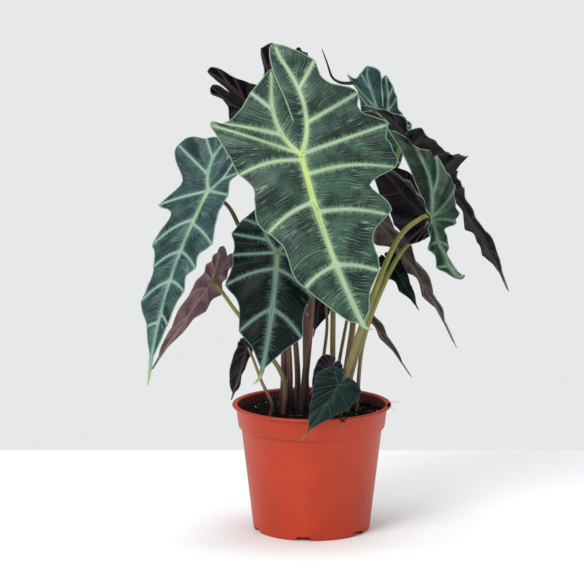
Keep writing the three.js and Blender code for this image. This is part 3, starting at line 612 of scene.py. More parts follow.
        "at": (50, 54, 274), "along": (0.6, 0.05, -0.8), "face": (0.6, 0.42, 0.5), "length": 112,
        "lobe": 22, "half": 20, "drip": 14, "droop": 4, "wave": 2, "bulge": 1, "veins": (0.15, 0.5),
        "lower": "dusky", "rib": 0.6, "quilt": 0.5,
        "stalk": ((26, 30), (32, 38, 185), (43, 50, 244), (50, 54, 274)),
        "radii": (3.2, 1.6), "skin": "tan",
    },
    "low_back": {
        "at": (15, 70, 282), "along": (-0.2, 0.1, -0.95), "face": (-0.1, 1, 0.1), "length": 58,
        "lobe": 22, "half": 26, "drip": 8, "droop": 8, "wave": 2, "veins": (0.12, 0.5), "rib": 0.6,
        "stalk": ((12, 34), (13, 44, 183), (19, 60, 236), (15, 70, 282)),
        "radii": (3.2, 1.6), "skin": "tan",
    },
    "low_dark": {
        "at": (21, -30, 201), "along": (-0.5, -0.1, -0.6), "face": (-0.1, 1, 0.5), "length": 34,
        "lobe": 14, "half": 20, "drip": 5, "droop": 8, "wave": 1, "bulge": 1, "scallop": 0.05,
        "veins": (0.12, 0.5), "rib": 0.5, "quilt": 0.5,
        "stalk": ((20, -28), (26, -33, 172), (22, -31, 200)),
        "radii": (2.4, 1.4), "skin": "tan",
    },
}
blade = {
    "thickness": 0.9, "stepsPerVein": 11, "cells": 18, "crowding": 1.25, "joined": 0.3, "veinBow": 0.07,
    "midrib": (4.3, 3.2), "lobeRib": (3.4, 2.0), "lateral": (2.7, 1.8), "ribDepth": 1.1,
    "quiltRise": 1.1, "pucker": 0.9, "puckerSize": 15, "edgeFade": 7, "foldChange": 30, "veinSink": 0.8,
    "seatRadius": 16, "ruffleLength": 17, "toothLength": 11, "toothStart": 12, "slant": 0.14,
    "slantLoss": 0.35, "lobeShares": (0, 0.36, 0.7, 1), "tipShare": 0.93, "tipReach": 0.955, "thread": 3,
    "fullHalf": 104, "midribSteps": 48, "lobeSteps": 10, "liftDelay": 0.02, "liftRamp": 0.12,
    "paleTip": (0.985, 0.5), "smoothing": 50, "weld": 0.02,
}
shift = {"rib": 170, "half": 900, "edge": 700, "leaf": 53}  # so that no two veins or leaves are marked alike


def through(points, i, t):  # smooth curve through pairs, at share t of the way from pair i to the next
    a, b, c, d = (np.array(points[min(max(k, 0), len(points) - 1)], float) for k in (i - 1, i, i + 1, i + 2))
    square, cube = 2 * a - 5 * b + 4 * c - d, 3 * b - a - 3 * c + d
    return 0.5 * (2 * b + (c - a) * t + square * t * t + cube * t ** 3)


def lobeRib(shape, share):
    middle = np.array((-0.32 * shape["reach"], 0.3 * shape["half"]))
    end = np.array((-0.86 * shape["reach"], (shape["lobeTip"] + 0.03) * shape["half"]))
    return 2 * share * (1 - share) * middle + share * share * end


def edgeStations(shape, side):
    rear = ((1, -1, shape["lobeTip"]), (0.7, -0.84, 0.56), (0.36, -0.55, 0.86), (0, -0.16, 1))
    stations = [[True, share, u * shape["reach"], v * shape["half"]] for share, u, v in rear]
    for share, start in zip(shape["veins"], shape["veinStarts"][side] or shape["veins"]):
        reach = share + blade["slant"] * (1 - blade["slantLoss"] * share)
        width = max(0, 1 - reach ** shape["fullness"]) * shape["half"]
        stations.append([False, start, reach * shape["length"], width])
    for station, (u, v) in zip(stations, shape["edges"][side] or ()):
        station[2:] = (u, v)
    tipPlace = (blade["tipReach"] * shape["length"], shape["tipWidth"] * shape["half"])
    stations.append([False, blade["tipShare"], *tipPlace])
    stations.append([False, 1 + shape["drip"] / shape["length"], shape["length"] + shape["drip"], 0])
    return stations


def outlineOf(shape, side):  # points of one half's edge: three in the slit of the lobes, then the vein ends
    reach, slit = shape["reach"], shape["slit"] * shape["half"]
    notch = shape["notches"][side] or (
        (-0.62 * reach, slit), (-0.86 * reach, 1.3 * slit + 0.02 * shape["half"]))
    return [(-shape["sinus"] * shape["lobe"], 0), *notch] + [s[2:] for s in edgeStations(shape, side)[:-1]]


def dripWidth(wide, t):  # half width along the last stretch: falls fast to a thread, then to the point
    thread = min(wide, blade["thread"])
    return (thread + (wide - thread) * (1 - t) ** 4) * (1 - t) ** 0.7


def halfRows(shape, side):
    # rows of one half, round the tip of its rear lobe: inner and outer point, lift, turn, bow of the row,
    # whether its end is an open edge, and its point on the midrib
    steps = blade["stepsPerVein"]
    shares = blade["lobeShares"]
    edge = outlineOf(shape, side)
    rows = []
    for k in range(3 * steps):
        part = k // steps
        share = mix(shares[part], shares[part + 1], k / steps - part)
        outer = np.array(edge[0]) * share / blade["joined"]
        if share > blade["joined"]:
            along = (share - blade["joined"]) / (1 - blade["joined"]) * 3
            outer = through(edge, min(int(along), 2), along - min(int(along), 2))
        rows.append((lobeRib(shape, share), outer, 0, 0, 0, share > blade["joined"], lobeRib(shape, share)))
    stations = edgeStations(shape, side)
    seams = [0, 0, 0, 0, *shape["veins"], blade["tipShare"], stations[-1][1]]
    last = len(stations) - 2
    bows = [0 if lobe or share > 0.9 else blade["veinBow"] for lobe, share, u, v in stations]
    for i in range(last + 1):
        (lobe0, share0, u0, v0), (lobe1, share1, u1, v1) = stations[i], stations[i + 1]
        given, sways = shape["hollows"][side], shape["sways"][side]
        depth = given[i] if i < len(given) else shape["scallop"] * (1 if i < last - 1 else 0.25)
        depth = depth if i < last else 0
        sway = sways[i] if i < len(sways) else 0
        for k in range(steps + (i == last)):
            t = k / steps
            inner = lobeRib(shape, mix(share0, share1, t))
            seam = inner
            if not lobe1:
                inner = np.array((mix(0 if lobe0 else share0, share1, t) * shape["length"], 0))
                seam = np.array((mix(seams[i], seams[i + 1], t) * shape["length"], 0))
            outer = through(edge, i + 3, t) if i < last else np.array((mix(u0, u1, t), dripWidth(v0, t)))
            hollow = depth * math.sin(math.pi * t) ** 1.4 + sway * math.sin(2 * math.pi * t)
            outer = mix(outer, inner, hollow)
            lift = 1 if i < last - 1 else 0.5 if i < last else 0
            rows.append((inner, outer, lift, t, mix(bows[i], bows[i + 1], t), True, seam))
    return rows


def mainVeins(shape, side):  # lines of the main veins of one half, each with its half width at either end
    scale = shape["rib"] * (shape["half"] / blade["fullHalf"]) ** 0.35
    veins = []
    tipEnd = shape["length"] + 0.6 * shape["drip"]
    veins.append(([np.array((u, 0.0)) for u in np.linspace(0, tipEnd, 24)], blade["midrib"]))
    ribLine = [lobeRib(shape, share) for share in np.linspace(0, 1, 16)]
    stations = edgeStations(shape, side)
    lobeEnd = mix(ribLine[-1], np.array(stations[0][2:]), 0.7)
    veins.append((ribLine + [lobeEnd], blade["lobeRib"]))
    for lobe, share, u, v in stations[1:-2]:
        inner = lobeRib(shape, share) if lobe else np.array((share * shape["length"], 0))
        outer = np.array((u, v))
        bow = 0 if lobe else blade["veinBow"]
        line = []
        for r in np.linspace(0, 0.97, 12):
            aside = bow * np.linalg.norm(outer - inner) * math.sin(math.pi * r)
            line.append(mix(inner, outer, r) - np.array((aside, 0)))
        veins.append((line, blade["lateral"]))
    return [(line, [w * scale for w in widths]) for line, widths in veins]


def nearest(points, lines):  # distance to the nearest of the lines, place along it and its half width
    best = [np.full(len(points), 1e9)] + [np.zeros(len(points)) for _ in range(3)]
    for number, (line, (wide0, wide1)) in enumerate(lines):
        total = sum(np.linalg.norm(b - a) for a, b in zip(line, line[1:]))
        walked = 0.0
        for a, b in zip(line, line[1:]):
            span = np.linalg.norm(b - a)
            t = np.clip((points - a) @ (b - a) / max(span * span, 1e-9), 0, 1)
            gap = np.linalg.norm(points - (a + t[:, None] * (b - a)), axis=1)
            run = walked + t * span
            wide = wide0 + (wide1 - wide0) * (run / total) ** 0.8
            closer = gap - wide < best[0]
            for kept, new in zip(best, (gap - wide, gap, run + shift["rib"] * number, wide)):
                kept[closer] = new[closer]
            walked += span
    return best[1], best[2], best[3]


def spine(shape):  # stations along the midrib and, behind the stalk, along the rear lobes
    along = Vector(shape["along"]).normalized()
    up = Vector(shape["face"])
    up = (up - up.dot(along) * along).normalized()

    def walk(span, steps, move):
        d, n, place = along.copy(), up.copy(), Vector(shape["at"])
        stops = [(0.0, place.copy(), d.cross(n), n.copy())]
        for k in range(steps):
            d, n = move(d, n, d.cross(n), (k + 0.5) / steps, steps)
            n = (n - n.dot(d) * d).normalized()
            place = place + d * (span / steps)
            stops.append((span * (k + 1) / steps, place.copy(), d.cross(n), n.copy()))
        return stops

    def ahead(d, n, aside, x, steps):
        rate = shape["tipCurl"] * x ** (shape["tipCurl"] - 1) / steps
        droop = Quaternion(aside, -math.radians(shape["droop"]) * rate)
        d, n = droop @ d, droop @ n
        drip = shape["drip"] / (shape["length"] + shape["drip"])
        turn = shape["sweep"] / steps + (shape["dripTurn"] / (drip * steps) if x > 1 - drip else 0)
        d = Quaternion(n, math.radians(turn)) @ d
        return d, Quaternion(d, math.radians(shape["twist"]) * rate) @ n

    def behind(d, n, aside, x, steps):
        turn = Quaternion(aside, math.radians(shape["lobeBend"]) / steps)
        d, n = turn @ d, turn @ n
        return Quaternion(n, math.radians(shape["lobeSweep"]) / steps) @ d, n

    rear = walk(-1.05 * shape["longest"], blade["lobeSteps"], behind)
    stops = rear[:0:-1] + walk(shape["length"] + shape["drip"], blade["midribSteps"], ahead)
    return [np.array([list(stop[k]) if k else stop[k] for stop in stops]) for k in range(4)]


def bend(shape, stops, u, v, side, lift):
    # places of the flat points (u, v) of one half once the blade droops, folds and curls
    place, aside, up = (
        np.stack([np.interp(u, stops[0], part[:, k]) for k in range(3)], -1) for part in stops[1:])
    front = np.clip(u / blade["foldChange"], 0, 1)
    fold = np.radians(mix(shape["fold"][side], (shape["frontFold"] or shape["fold"])[side], front))
    curl = math.radians(shape["curl"][side])
    turned = fold + curl * v / shape["half"]
    out = shape["half"] / curl * (np.sin(turned) - np.sin(fold)) * (1 if side == 0 else -1)
    rise = -shape["half"] / curl * (np.cos(turned) - np.cos(fold)) + lift
    back = np.clip((-u / shape["lobe"] - shape["sinus"] - blade["liftDelay"]) / blade["liftRamp"], 0, 1)
    rise = rise + shape["lobeLift"][side] * back * back * (3 - 2 * back)
    return place + aside * out[:, None] + up * rise[:, None]


def halfBlade(shape, stops, side, seed):
    rows = halfRows(shape, side)
    cells = blade["cells"]
    inner, outer = (np.array([row[k] for row in rows]) for k in (0, 1))
    lifts, turns, bows = (np.array([row[k] for row in rows], float) for k in (2, 3, 4))
    r = np.repeat(np.linspace(0, 1, cells + 1) ** blade["crowding"], len(rows))
    row = np.tile(np.arange(len(rows)), cells + 1)
    margin = np.concatenate(([0], np.cumsum(np.linalg.norm(np.diff(outer, axis=0), axis=1))))
    beat, bite = (np.array([noise.noise(Vector((m / size, seed, 7 + side))) for m in margin])
                  for size in (blade["ruffleLength"], blade["toothLength"]))
    begun = np.clip((margin - margin[3 * blade["stepsPerVein"]]) / blade["toothStart"], 0, 1)
    outer += (inner - outer) * (shape["teeth"] * lifts * begun * (0.3 + bite))[:, None]
    span = np.linalg.norm(outer - inner, axis=1)
    flat = inner[row] * (1 - r)[:, None] + outer[row] * r[:, None]
    flat[:, 0] -= bows[row] * span[row] * np.sin(math.pi * r)
    flat[:len(rows)] = [row[6] for row in rows]

    gap, run, wide = nearest(flat, mainVeins(shape, side))
    rim = [point for point, kept in zip(outer, rows) if kept[5]]
    edge = nearest(flat, [(rim, (0, 0))])[0]
    fadeIn = lifts[row] * np.minimum(span[row] / (0.35 * shape["half"]), 1)
    swell = shape["bulge"] * np.sin(math.pi * turns[row]) ** 2 * np.sin(math.pi * r ** 0.8)
    waved = -shape["wave"] * np.cos(2 * math.pi * turns[row]) * r ** 2.2
    signed = flat[:, 1] * (1 if side == 0 else -1)
    ripple = np.array([noise.noise(Vector((u / blade["puckerSize"], v / blade["puckerSize"], seed)))
                       for u, v in zip(flat[:, 0], signed)])
    away = 1 - np.exp(-(gap / (2.2 * wide + 2)) ** 2)
    quiet = np.clip(edge / blade["edgeFade"], 0, 1)
    sink = blade["veinSink"] * (1 - np.exp(-(np.linalg.norm(flat, axis=1) / blade["seatRadius"]) ** 2))
    rise = blade["quiltRise"] * (away - sink) + blade["pucker"] * away * ripple
    quilt = shape["quilt"] * quiet * rise
    ruffle = 2 * shape["ruffle"] * fadeIn * r ** 3 * beat[row]
    lift = (swell + waved) * fadeIn + quilt + ruffle
    places = bend(shape, stops, flat[:, 0], flat[:, 1], side, lift)

    deselectAll()
    bpy.ops.mesh.primitive_grid_add(x_subdivisions=len(rows) - 1, y_subdivisions=cells, size=2)
    half = bpy.context.object
    mesh = half.data
    mesh.vertices.foreach_set("co", (places * mm).ravel())
    paleStart, paleRamp = blade["paleTip"]
    tip = np.clip((flat[:, 0] - paleStart * shape["length"]) / (paleRamp * shape["drip"]), 0, 1)
    store(mesh, "vein", (gap, run + shift["half"] * side, wide))
    store(mesh, "net", (margin[row] + shift["edge"] * side + shift["leaf"] * seed, r * span[row], edge))
    store(mesh, "flat", (flat[:, 0], signed, tip))
    return half


def makeBlade(name, shape, seed):
    stops = spine(shape)
    halves = []
    for side in (0, 1):
        measured = shape["edges"][side]
        half = dict(shape, reach=-measured[0][0] if measured else shape["lobe"])
        if measured:
            half["lobeTip"] = measured[0][1] / shape["half"]
        halves.append(halfBlade(half, stops, side, seed))
    inEditMode(halves[0])
    bpy.ops.mesh.flip_normals()
    bpy.ops.object.mode_set(mode="OBJECT")
    pick(*halves)
    bpy.ops.object.join()
    piece = bpy.context.object
    piece.name = f"leaf_{name}"
    inEditMode(piece)
    bpy.ops.mesh.remove_doubles(threshold=blade["weld"] * mm)
    bpy.ops.mesh.dissolve_degenerate(threshold=0.001 * mm)
    bpy.ops.object.mode_set(mode="OBJECT")

    mesh = piece.data
    count = len(mesh.vertices)
    sheet = placesOf(mesh)
    facing = np.array([v.normal for v in mesh.vertices])
    mesh.materials.append(upperMaterials[shape["upper"]])
    mesh.materials.append(lowerMaterials[shape["lower"]])
    applyModifier(piece, "SOLIDIFY", thickness=blade["thickness"] * mm, offset=0, material_offset=1)
    places = placesOf(mesh)
    first = ((places[:count] - sheet) * facing).sum() < 0  # True where the first copy is the underside
    under = slice(0, count) if first else slice(count, 2 * count)
    veins = np.zeros(len(mesh.vertices) * 3)
    mesh.attributes["vein"].data.foreach_get("vector", veins)
    gap, _, wide = veins.reshape(-1, 3)[under].T
    rib = blade["ribDepth"] * np.clip(1 - (gap / (1.1 * wide)) ** 2, 0, 1) * np.clip(wide / 2.2, 0.2, 1)
    places[under] -= facing * (rib * mm)[:, None]
    mesh.vertices.foreach_set("co", places.ravel())
    smoothShade(piece, blade["smoothing"])
    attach(piece, "root")
    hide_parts(f"blade_{name}")


for seed, (name, leaf) in enumerate(leaves.items()):
    shape = dict(standard, **leaf)
    shape["longest"] = max(-edge[0][0] if edge else shape["lobe"] for edge in shape["edges"])
    makeBlade(name, shape, seed)
print("leaf blades:", len(leaves))

# Stalks

stalk = {
    "rootDepth": 104, "holeTop": 138, "sections": 12, "stepsPerPoint": 10, "overlap": 0.4, "taper": 1.3,
    "streakShift": 60.0, "lowEnd": (145, 215), "highStart": (0.35, 0.8), "gloss": 0.45,
}
skins = {
    "olive": {"Low": (84, 50, 38), "Middle": (138, 128, 78), "High": (134, 138, 66)},
    "tan": {"Low": (72, 44, 36), "Middle": (132, 100, 74), "High": (126, 114, 72)},
    "russet": {"Low": (38, 18, 24), "Middle": (112, 72, 58), "High": (118, 110, 58)},
}


def makeStalkGroup():
    tree, given, result = newGroup("stalkSkin", ("Low", "Middle", "High"))
    share, around, height = split(tree, attribute(tree, "stalk"))
    lengthwise = triple(tree, times(tree, around, 1.6), times(tree, height, 0.02), 0)
    streak = grain(tree, lengthwise, 2.0, 4, 0.6)
    mottle = fade(tree, grain(tree, placeOn(tree, (1, 1, 0.35)), 160, 4, 0.6), 0.35, 0.7)
    shifted = calc(tree, "MULTIPLY_ADD", calc(tree, "SUBTRACT", streak, 0.5), stalk["streakShift"], height)
    base = mixColour(tree, fade(tree, shifted, *stalk["lowEnd"]), given["Low"], given["Middle"])
    base = mixColour(tree, fade(tree, share, *stalk["highStart"]), base, given["High"])
    base = mixColour(tree, times(tree, mottle, 0.3), base, given["Low"])
    rough = calc(tree, "MULTIPLY_ADD", mottle, 0.15, 0.38)
    return putOut(tree, result, base, rough, calc(tree, "ADD", streak, times(tree, mottle, 0.3)))


stalkGroup = makeStalkGroup()
skinMaterials = {
    name: newMaterial(f"stalk_{name}", stalkGroup, coloursOf(skin), bump=0.3, depth=0.5 * mm,
                      Specular_IOR_Level=stalk["gloss"])
    for name, skin in skins.items()
}


def makeStalk(name, shape):
    (x, y), *rest = shape["stalk"]
    hole = [Vector((x, y, z)) for z in (stalk["rootDepth"], stalk["holeTop"])]
    points = hole + [Vector(point) for point in rest]
    points[-1] = points[-1] + (points[-1] - points[-2]).normalized() * stalk["overlap"]
    deselectAll()
    bpy.ops.curve.primitive_bezier_curve_add()
    route = bpy.context.object
    bpy.ops.object.mode_set(mode="EDIT")
    bpy.ops.curve.select_all(action="SELECT")
    bpy.ops.curve.subdivide(number_cuts=len(points) - 2)
    bpy.ops.object.mode_set(mode="OBJECT")
    curve = route.data
    curve.dimensions = "3D"
    curve.bevel_depth = mm
    curve.bevel_resolution = (stalk["sections"] - 4) // 2
    curve.resolution_u = stalk["stepsPerPoint"]
    curve.use_fill_caps = True
    base, top = shape["radii"]
    for i, knot in enumerate(curve.splines[0].bezier_points):
        before, after = points[max(i - 1, 0)], points[min(i + 1, len(points) - 1)]
        pull = (after - before) / 6
        knot.handle_left_type = knot.handle_right_type = "FREE"
        knot.co = points[i] * mm
        knot.handle_left = (points[i] - pull) * mm
        knot.handle_right = (points[i] + pull) * mm
        knot.radius = mix(top, base, (1 - i / (len(points) - 1)) ** stalk["taper"])
    pick(route)
    bpy.ops.object.convert(target="MESH")
    piece = bpy.context.object
    piece.name = f"petiole_{name}"
    inEditMode(piece)
    bpy.ops.mesh.remove_doubles(threshold=0.01 * mm)
    bpy.ops.mesh.normals_make_consistent(inside=False)
    bpy.ops.object.mode_set(mode="OBJECT")
    settle(piece)
    mesh = piece.data
    places = placesOf(mesh) / mm
    line = np.array([p[:] for p in points])
    lengths = np.concatenate(([0], np.cumsum(np.linalg.norm(np.diff(line, axis=0), axis=1))))
    run = nearest(places, [(list(line), (0, 0))])[1]
    share = run / lengths[-1]
    middle = np.stack([np.interp(run, lengths, line[:, k]) for k in range(3)], -1)
    around = np.arctan2(places[:, 1] - middle[:, 1], places[:, 0] - middle[:, 0])
    store(mesh, "stalk", (share, around, places[:, 2]))
    mesh.materials.append(skinMaterials[shape["skin"]])
    smoothShade(piece, blade["smoothing"])
    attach(piece, "root")
    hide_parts(f"stalk_{name}")


for name, leaf in leaves.items():
    makeStalk(name, leaf)
print("stalks:", len(leaves))

# Pot

pot = {
    "height": 152, "baseRadius": 70, "shoulderRadius": 84.2, "shoulderHeight": 125, "collarRadius": 87.4,
    "collarTopRadius": 90.3, "lipRadius": 95, "lipHeight": 2.8, "wall": 1.6, "floor": 2.4, "foot": 1.4,
    "notches": 6, "notchWidth": 17, "notchHeight": 5, "notchDepth": 9, "firstNotch": 22, "notchRound": 0.8,
    "lipRound": 0.9, "edgeRound": 0.45, "sides": 128, "smoothing": 35,
}
# the last colour is painted shade for the inside of the collar; the last two marks are the heights over the
# shoulder and under the lip over which it fades
potFinish = {"Main": (178, 50, 12), "Shade": (140, 34, 8), "Scuff": (196, 84, 48), "PaintedShade": (38, 14, 12)}
potMarks = {"shade": 0.35, "scuffs": 0.4, "dots": 0.5, "paintedShadeLow": (6, 10), "paintedShadeHigh": (3, 1)}


def makePotGroup():
    tree, given, result = newGroup("mouldedPlastic", tuple(potFinish))
    place = placeOn(tree)
    cloud = grain(tree, place, 14, 4, 0.55)
    base = mixColour(tree, fade(tree, cloud, 0.35, 0.7, 0, potMarks["shade"]), given["Main"], given["Shade"])
    scuffs = fade(tree, grain(tree, placeOn(tree, (1, 1, 0.25)), 260, 2, 0.5), 0.7, 0.78)
    base = mixColour(tree, times(tree, scuffs, potMarks["scuffs"]), base, given["Scuff"])
    dots = fade(tree, grain(tree, place, 120, 1, 0.5), 0.2, 0.255, 1, 0)
    base = mixColour(tree, times(tree, dots, potMarks["dots"]), base, given["Shade"])

    # painted shade on the inside of the collar, between the soil and the lip, where the pot's own wall
    # shades it
    x, y, z = split(tree, place)
    radius = reachOf(tree, x, y)
    inner, outer = (pot[key] - pot["wall"] / 2 for key in ("collarRadius", "collarTopRadius"))
    slope = (outer - inner) / (pot["height"] - pot["shoulderHeight"])
    middle = calc(tree, "MULTIPLY_ADD", z, slope, (inner - slope * pot["shoulderHeight"]) * mm)
    inside = fade(tree, calc(tree, "SUBTRACT", radius, middle), -0.3 * mm, 0.3 * mm, 1, 0)
    under = fade(tree, z, *((pot["height"] - drop) * mm for drop in potMarks["paintedShadeHigh"]), 1, 0)
    above = fade(tree, z, *((pot["shoulderHeight"] + rise) * mm for rise in potMarks["paintedShadeLow"]))
    band = times(tree, inside, times(tree, under, above))
    paintedShadeShare = times(tree, band, fade(tree, cloud, 0.2, 0.6, 0.7, 0.95))
    base = mixColour(tree, paintedShadeShare, base, given["PaintedShade"])
    rough = calc(tree, "MULTIPLY_ADD", cloud, 0.2, 0.34)
    return putOut(tree, result, base, rough, grain(tree, place, 900, 2, 0.6))


potMaterial = newMaterial("orangePlastic", makePotGroup(), coloursOf(potFinish), bump=0.12, depth=0.2 * mm,
                          Specular_IOR_Level=0.36)


def potProfile():
    lipUnder = pot["height"] - pot["lipHeight"]
    turn = pot["lipRound"]
    inner = [
        (pot["collarTopRadius"] - pot["wall"], pot["height"] - turn),
        (pot["collarRadius"] - pot["wall"], pot["shoulderHeight"] + 2),
        (pot["shoulderRadius"] - pot["wall"], pot["shoulderHeight"] - 1.6),
        (pot["baseRadius"] - pot["wall"] + 0.2, pot["floor"] + 1),
        (pot["baseRadius"] - pot["wall"] - 0.8, pot["floor"]), (0, pot["floor"]),
    ]
    return [
        (0, 0), (pot["baseRadius"] - pot["foot"], 0), (pot["baseRadius"], pot["foot"]),
        (pot["shoulderRadius"], pot["shoulderHeight"] - 0.6), (pot["collarRadius"], pot["shoulderHeight"]),
        (pot["collarTopRadius"], lipUnder), (pot["lipRadius"] - 0.7, lipUnder),
        (pot["lipRadius"], lipUnder + turn), (pot["lipRadius"], pot["height"] - turn),
        (pot["lipRadius"] - turn, pot["height"]), (inner[0][0] + turn, pot["height"]),
    ] + inner


def makePot():
    profile = potProfile()
    deselectAll()
    bpy.ops.mesh.primitive_plane_add(size=mm)
    piece = bpy.context.object
    piece.name = "pot_shell"
    inEditMode(piece)
    bpy.ops.mesh.merge(type="CENTER")
    for (x0, z0), (x1, z1) in zip(profile, profile[1:]):
        step = ((x1 - x0) * mm, 0, (z1 - z0) * mm)
        bpy.ops.mesh.extrude_vertices_move(TRANSFORM_OT_translate={"value": step})
    bpy.ops.mesh.select_all(action="SELECT")
    bpy.ops.mesh.spin(steps=pot["sides"], angle=2 * math.pi, center=(0, 0, 0), axis=(0, 0, 1))
    bpy.ops.mesh.select_all(action="SELECT")
    bpy.ops.mesh.remove_doubles(threshold=0.02 * mm)
    bpy.ops.mesh.normals_make_consistent(inside=False)
    bpy.ops.object.mode_set(mode="OBJECT")
    applyModifier(piece, "BEVEL", width=pot["edgeRound"] * mm, segments=2, limit_method="ANGLE",
                  angle_limit=math.radians(20))
    for k in range(pot["notches"]):
        turn = math.radians(pot["firstNotch"] + k * 360 / pot["notches"])
        middle = (pot["baseRadius"] - pot["notchDepth"] / 2 + 2) * mm
        deselectAll()
        bpy.ops.mesh.primitive_cube_add(
            size=1, rotation=(0, 0, turn),
            location=(middle * math.cos(turn), middle * math.sin(turn), (pot["notchHeight"] / 2 - 1) * mm))
        cutter = bpy.context.object
        cutter.scale = (pot["notchDepth"] * mm, pot["notchWidth"] * mm, (pot["notchHeight"] + 2) * mm)
        settle(cutter)
        applyModifier(cutter, "BEVEL", width=pot["notchRound"] * mm, segments=2)
        applyModifier(piece, "BOOLEAN", operation="DIFFERENCE", object=cutter, solver="EXACT")
        bpy.data.objects.remove(cutter)
    settle(piece)
    piece.data.materials.append(potMaterial)
    smoothShade(piece, pot["smoothing"])
    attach(piece, "root")
    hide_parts("pot")


makePot()
print("pot")

# Soil

soil = {
    "height": 142, "bump": 1.1, "gap": 0.5, "cells": 150, "lumps": 1.5, "rimWidth": 6, "smoothing": 40,
    "spread": 84, "crumbs": 520, "crumbSizes": (0.6, 2.6), "perlite": 16, "perliteSizes": (0.7, 1.4),
}
rootHairs = {
    "count": 16, "radius": 0.28, "knots": 7, "step": 3.6, "bend": 0.7, "limit": 82, "lift": 0.8,
    "loose": 0.9, "x": (-55, 70), "y": (-70, 50),
}
crumbShape = {"kinds": 3, "roughness": (0.65, 1.15), "stretch": (0.7, 1.3)}
soilFinishes = {
    "darkSoil": {"Dark": (8, 6, 6), "Light": (27, 20, 18), "Fibre": (62, 45, 34)},
    "whitePerlite": {"Dark": (168, 160, 148), "Light": (206, 200, 188), "Fibre": (120, 108, 92)},
    "rootFibre": {"Dark": (104, 76, 52), "Light": (150, 118, 84), "Fibre": (64, 46, 34)},
    "witheredBrown": {"Dark": (26, 18, 18), "Light": (58, 44, 38), "Fibre": (96, 84, 70)},
}
soilReliefs = {
    "darkSoil": {"bump": 0.8, "depth": 1.2 * mm, "Specular_IOR_Level": 0.06},
    "whitePerlite": {"bump": 0.5, "depth": 0.5 * mm},
    "rootFibre": {"bump": 0.3, "depth": 0.2 * mm},
    "witheredBrown": {"bump": 0.3, "depth": 0.3 * mm},
}


def soilTop(x, y):
    bump = math.sin(x * 0.21 + 1) * math.cos(y * 0.17 - 0.4) + 0.6 * math.sin(x * 0.07 + y * 0.31)
    lump = noise.noise(Vector((x / 5, y / 5, 3))) + 0.5 * noise.noise(Vector((x / 2, y / 2, 8)))
    return soil["height"] + soil["bump"] * bump + soil["lumps"] * lump


def makeSoilGroup():
    tree, given, result = newGroup("pottingMix", ("Dark", "Light", "Fibre"))
    place = placeOn(tree)
    clod = grain(tree, place, 320, 5, 0.7)
    base = mixColour(tree, fade(tree, clod, 0.42, 0.75), given["Dark"], given["Light"])
    thread = addNode(tree, "TexVoronoi", feature="DISTANCE_TO_EDGE")
    feed(tree, thread.inputs["Vector"], placeOn(tree, (1, 2.6, 1)))
    thread.inputs["Scale"].default_value = 170
    fibres = fade(tree, thread.outputs["Distance"], 0.0, 0.05, 1, 0)
    shown = times(tree, fade(tree, grain(tree, place, 70, 2), 0.56, 0.7), 0.7)
    base = mixColour(tree, times(tree, fibres, shown), base, given["Fibre"])
    return putOut(tree, result, base, calc(tree, "MULTIPLY_ADD", clod, 0.2, 0.75), clod)


soilGroup = makeSoilGroup()
soilMaterials = {
    name: newMaterial(name, soilGroup, coloursOf(colours), **soilReliefs[name])
    for name, colours in soilFinishes.items()
}


def soilWall(height):  # inner radius of the pot at a height, less the gap
    shoulder, lip = pot["shoulderHeight"] + 2, pot["height"] - pot["lipRound"]
    share = (height - shoulder) / (lip - shoulder)
    return mix(pot["collarRadius"], pot["collarTopRadius"], share) - pot["wall"] - soil["gap"]


def asSoil(piece, finishName):
    piece.data.materials.clear()
    piece.data.materials.append(soilMaterials[finishName])
    smoothShade(piece, soil["smoothing"])
    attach(piece, "root")


def makeSoil():
    deselectAll()
    bpy.ops.mesh.primitive_grid_add(x_subdivisions=soil["cells"], y_subdivisions=soil["cells"], size=2)
    piece = bpy.context.object
    piece.name = "soil_body"
    radius = soilWall(soil["height"])
    for vertex in piece.data.vertices:
        x, y = vertex.co.x, vertex.co.y
        across, away = radius * x * math.sqrt(1 - y * y / 2), radius * y * math.sqrt(1 - x * x / 2)
        rim = max(0.0, 1 - (radius - math.hypot(across, away)) / soil["rimWidth"])
        vertex.co = (across * mm, away * mm, mix(soilTop(across, away), soil["height"] - 1, rim) * mm)
    inEditMode(piece)
    bpy.ops.mesh.region_to_loop()
    shoulder, inset = pot["shoulderHeight"], pot["wall"] + soil["gap"]
    rings = ((shoulder + 2, soilWall(shoulder + 2)), (shoulder - 2, pot["shoulderRadius"] - inset),
             (pot["floor"] + 1.2, pot["baseRadius"] - inset))
    for height, wide in rings:
        bpy.ops.mesh.extrude_region_move(TRANSFORM_OT_translate={"value": (0, 0, 0)})
        bpy.ops.object.mode_set(mode="OBJECT")
        for vertex in piece.data.vertices:
            if vertex.select:
                turn = math.atan2(vertex.co.y, vertex.co.x)
                vertex.co = Vector((wide * math.cos(turn), wide * math.sin(turn), height)) * mm
        bpy.ops.object.mode_set(mode="EDIT")
    bpy.ops.mesh.edge_face_add()
    bpy.ops.mesh.select_all(action="SELECT")
    bpy.ops.mesh.normals_make_consistent(inside=False)
    bpy.ops.object.mode_set(mode="OBJECT")
    asSoil(piece, "darkSoil")
    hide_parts("potting_soil")


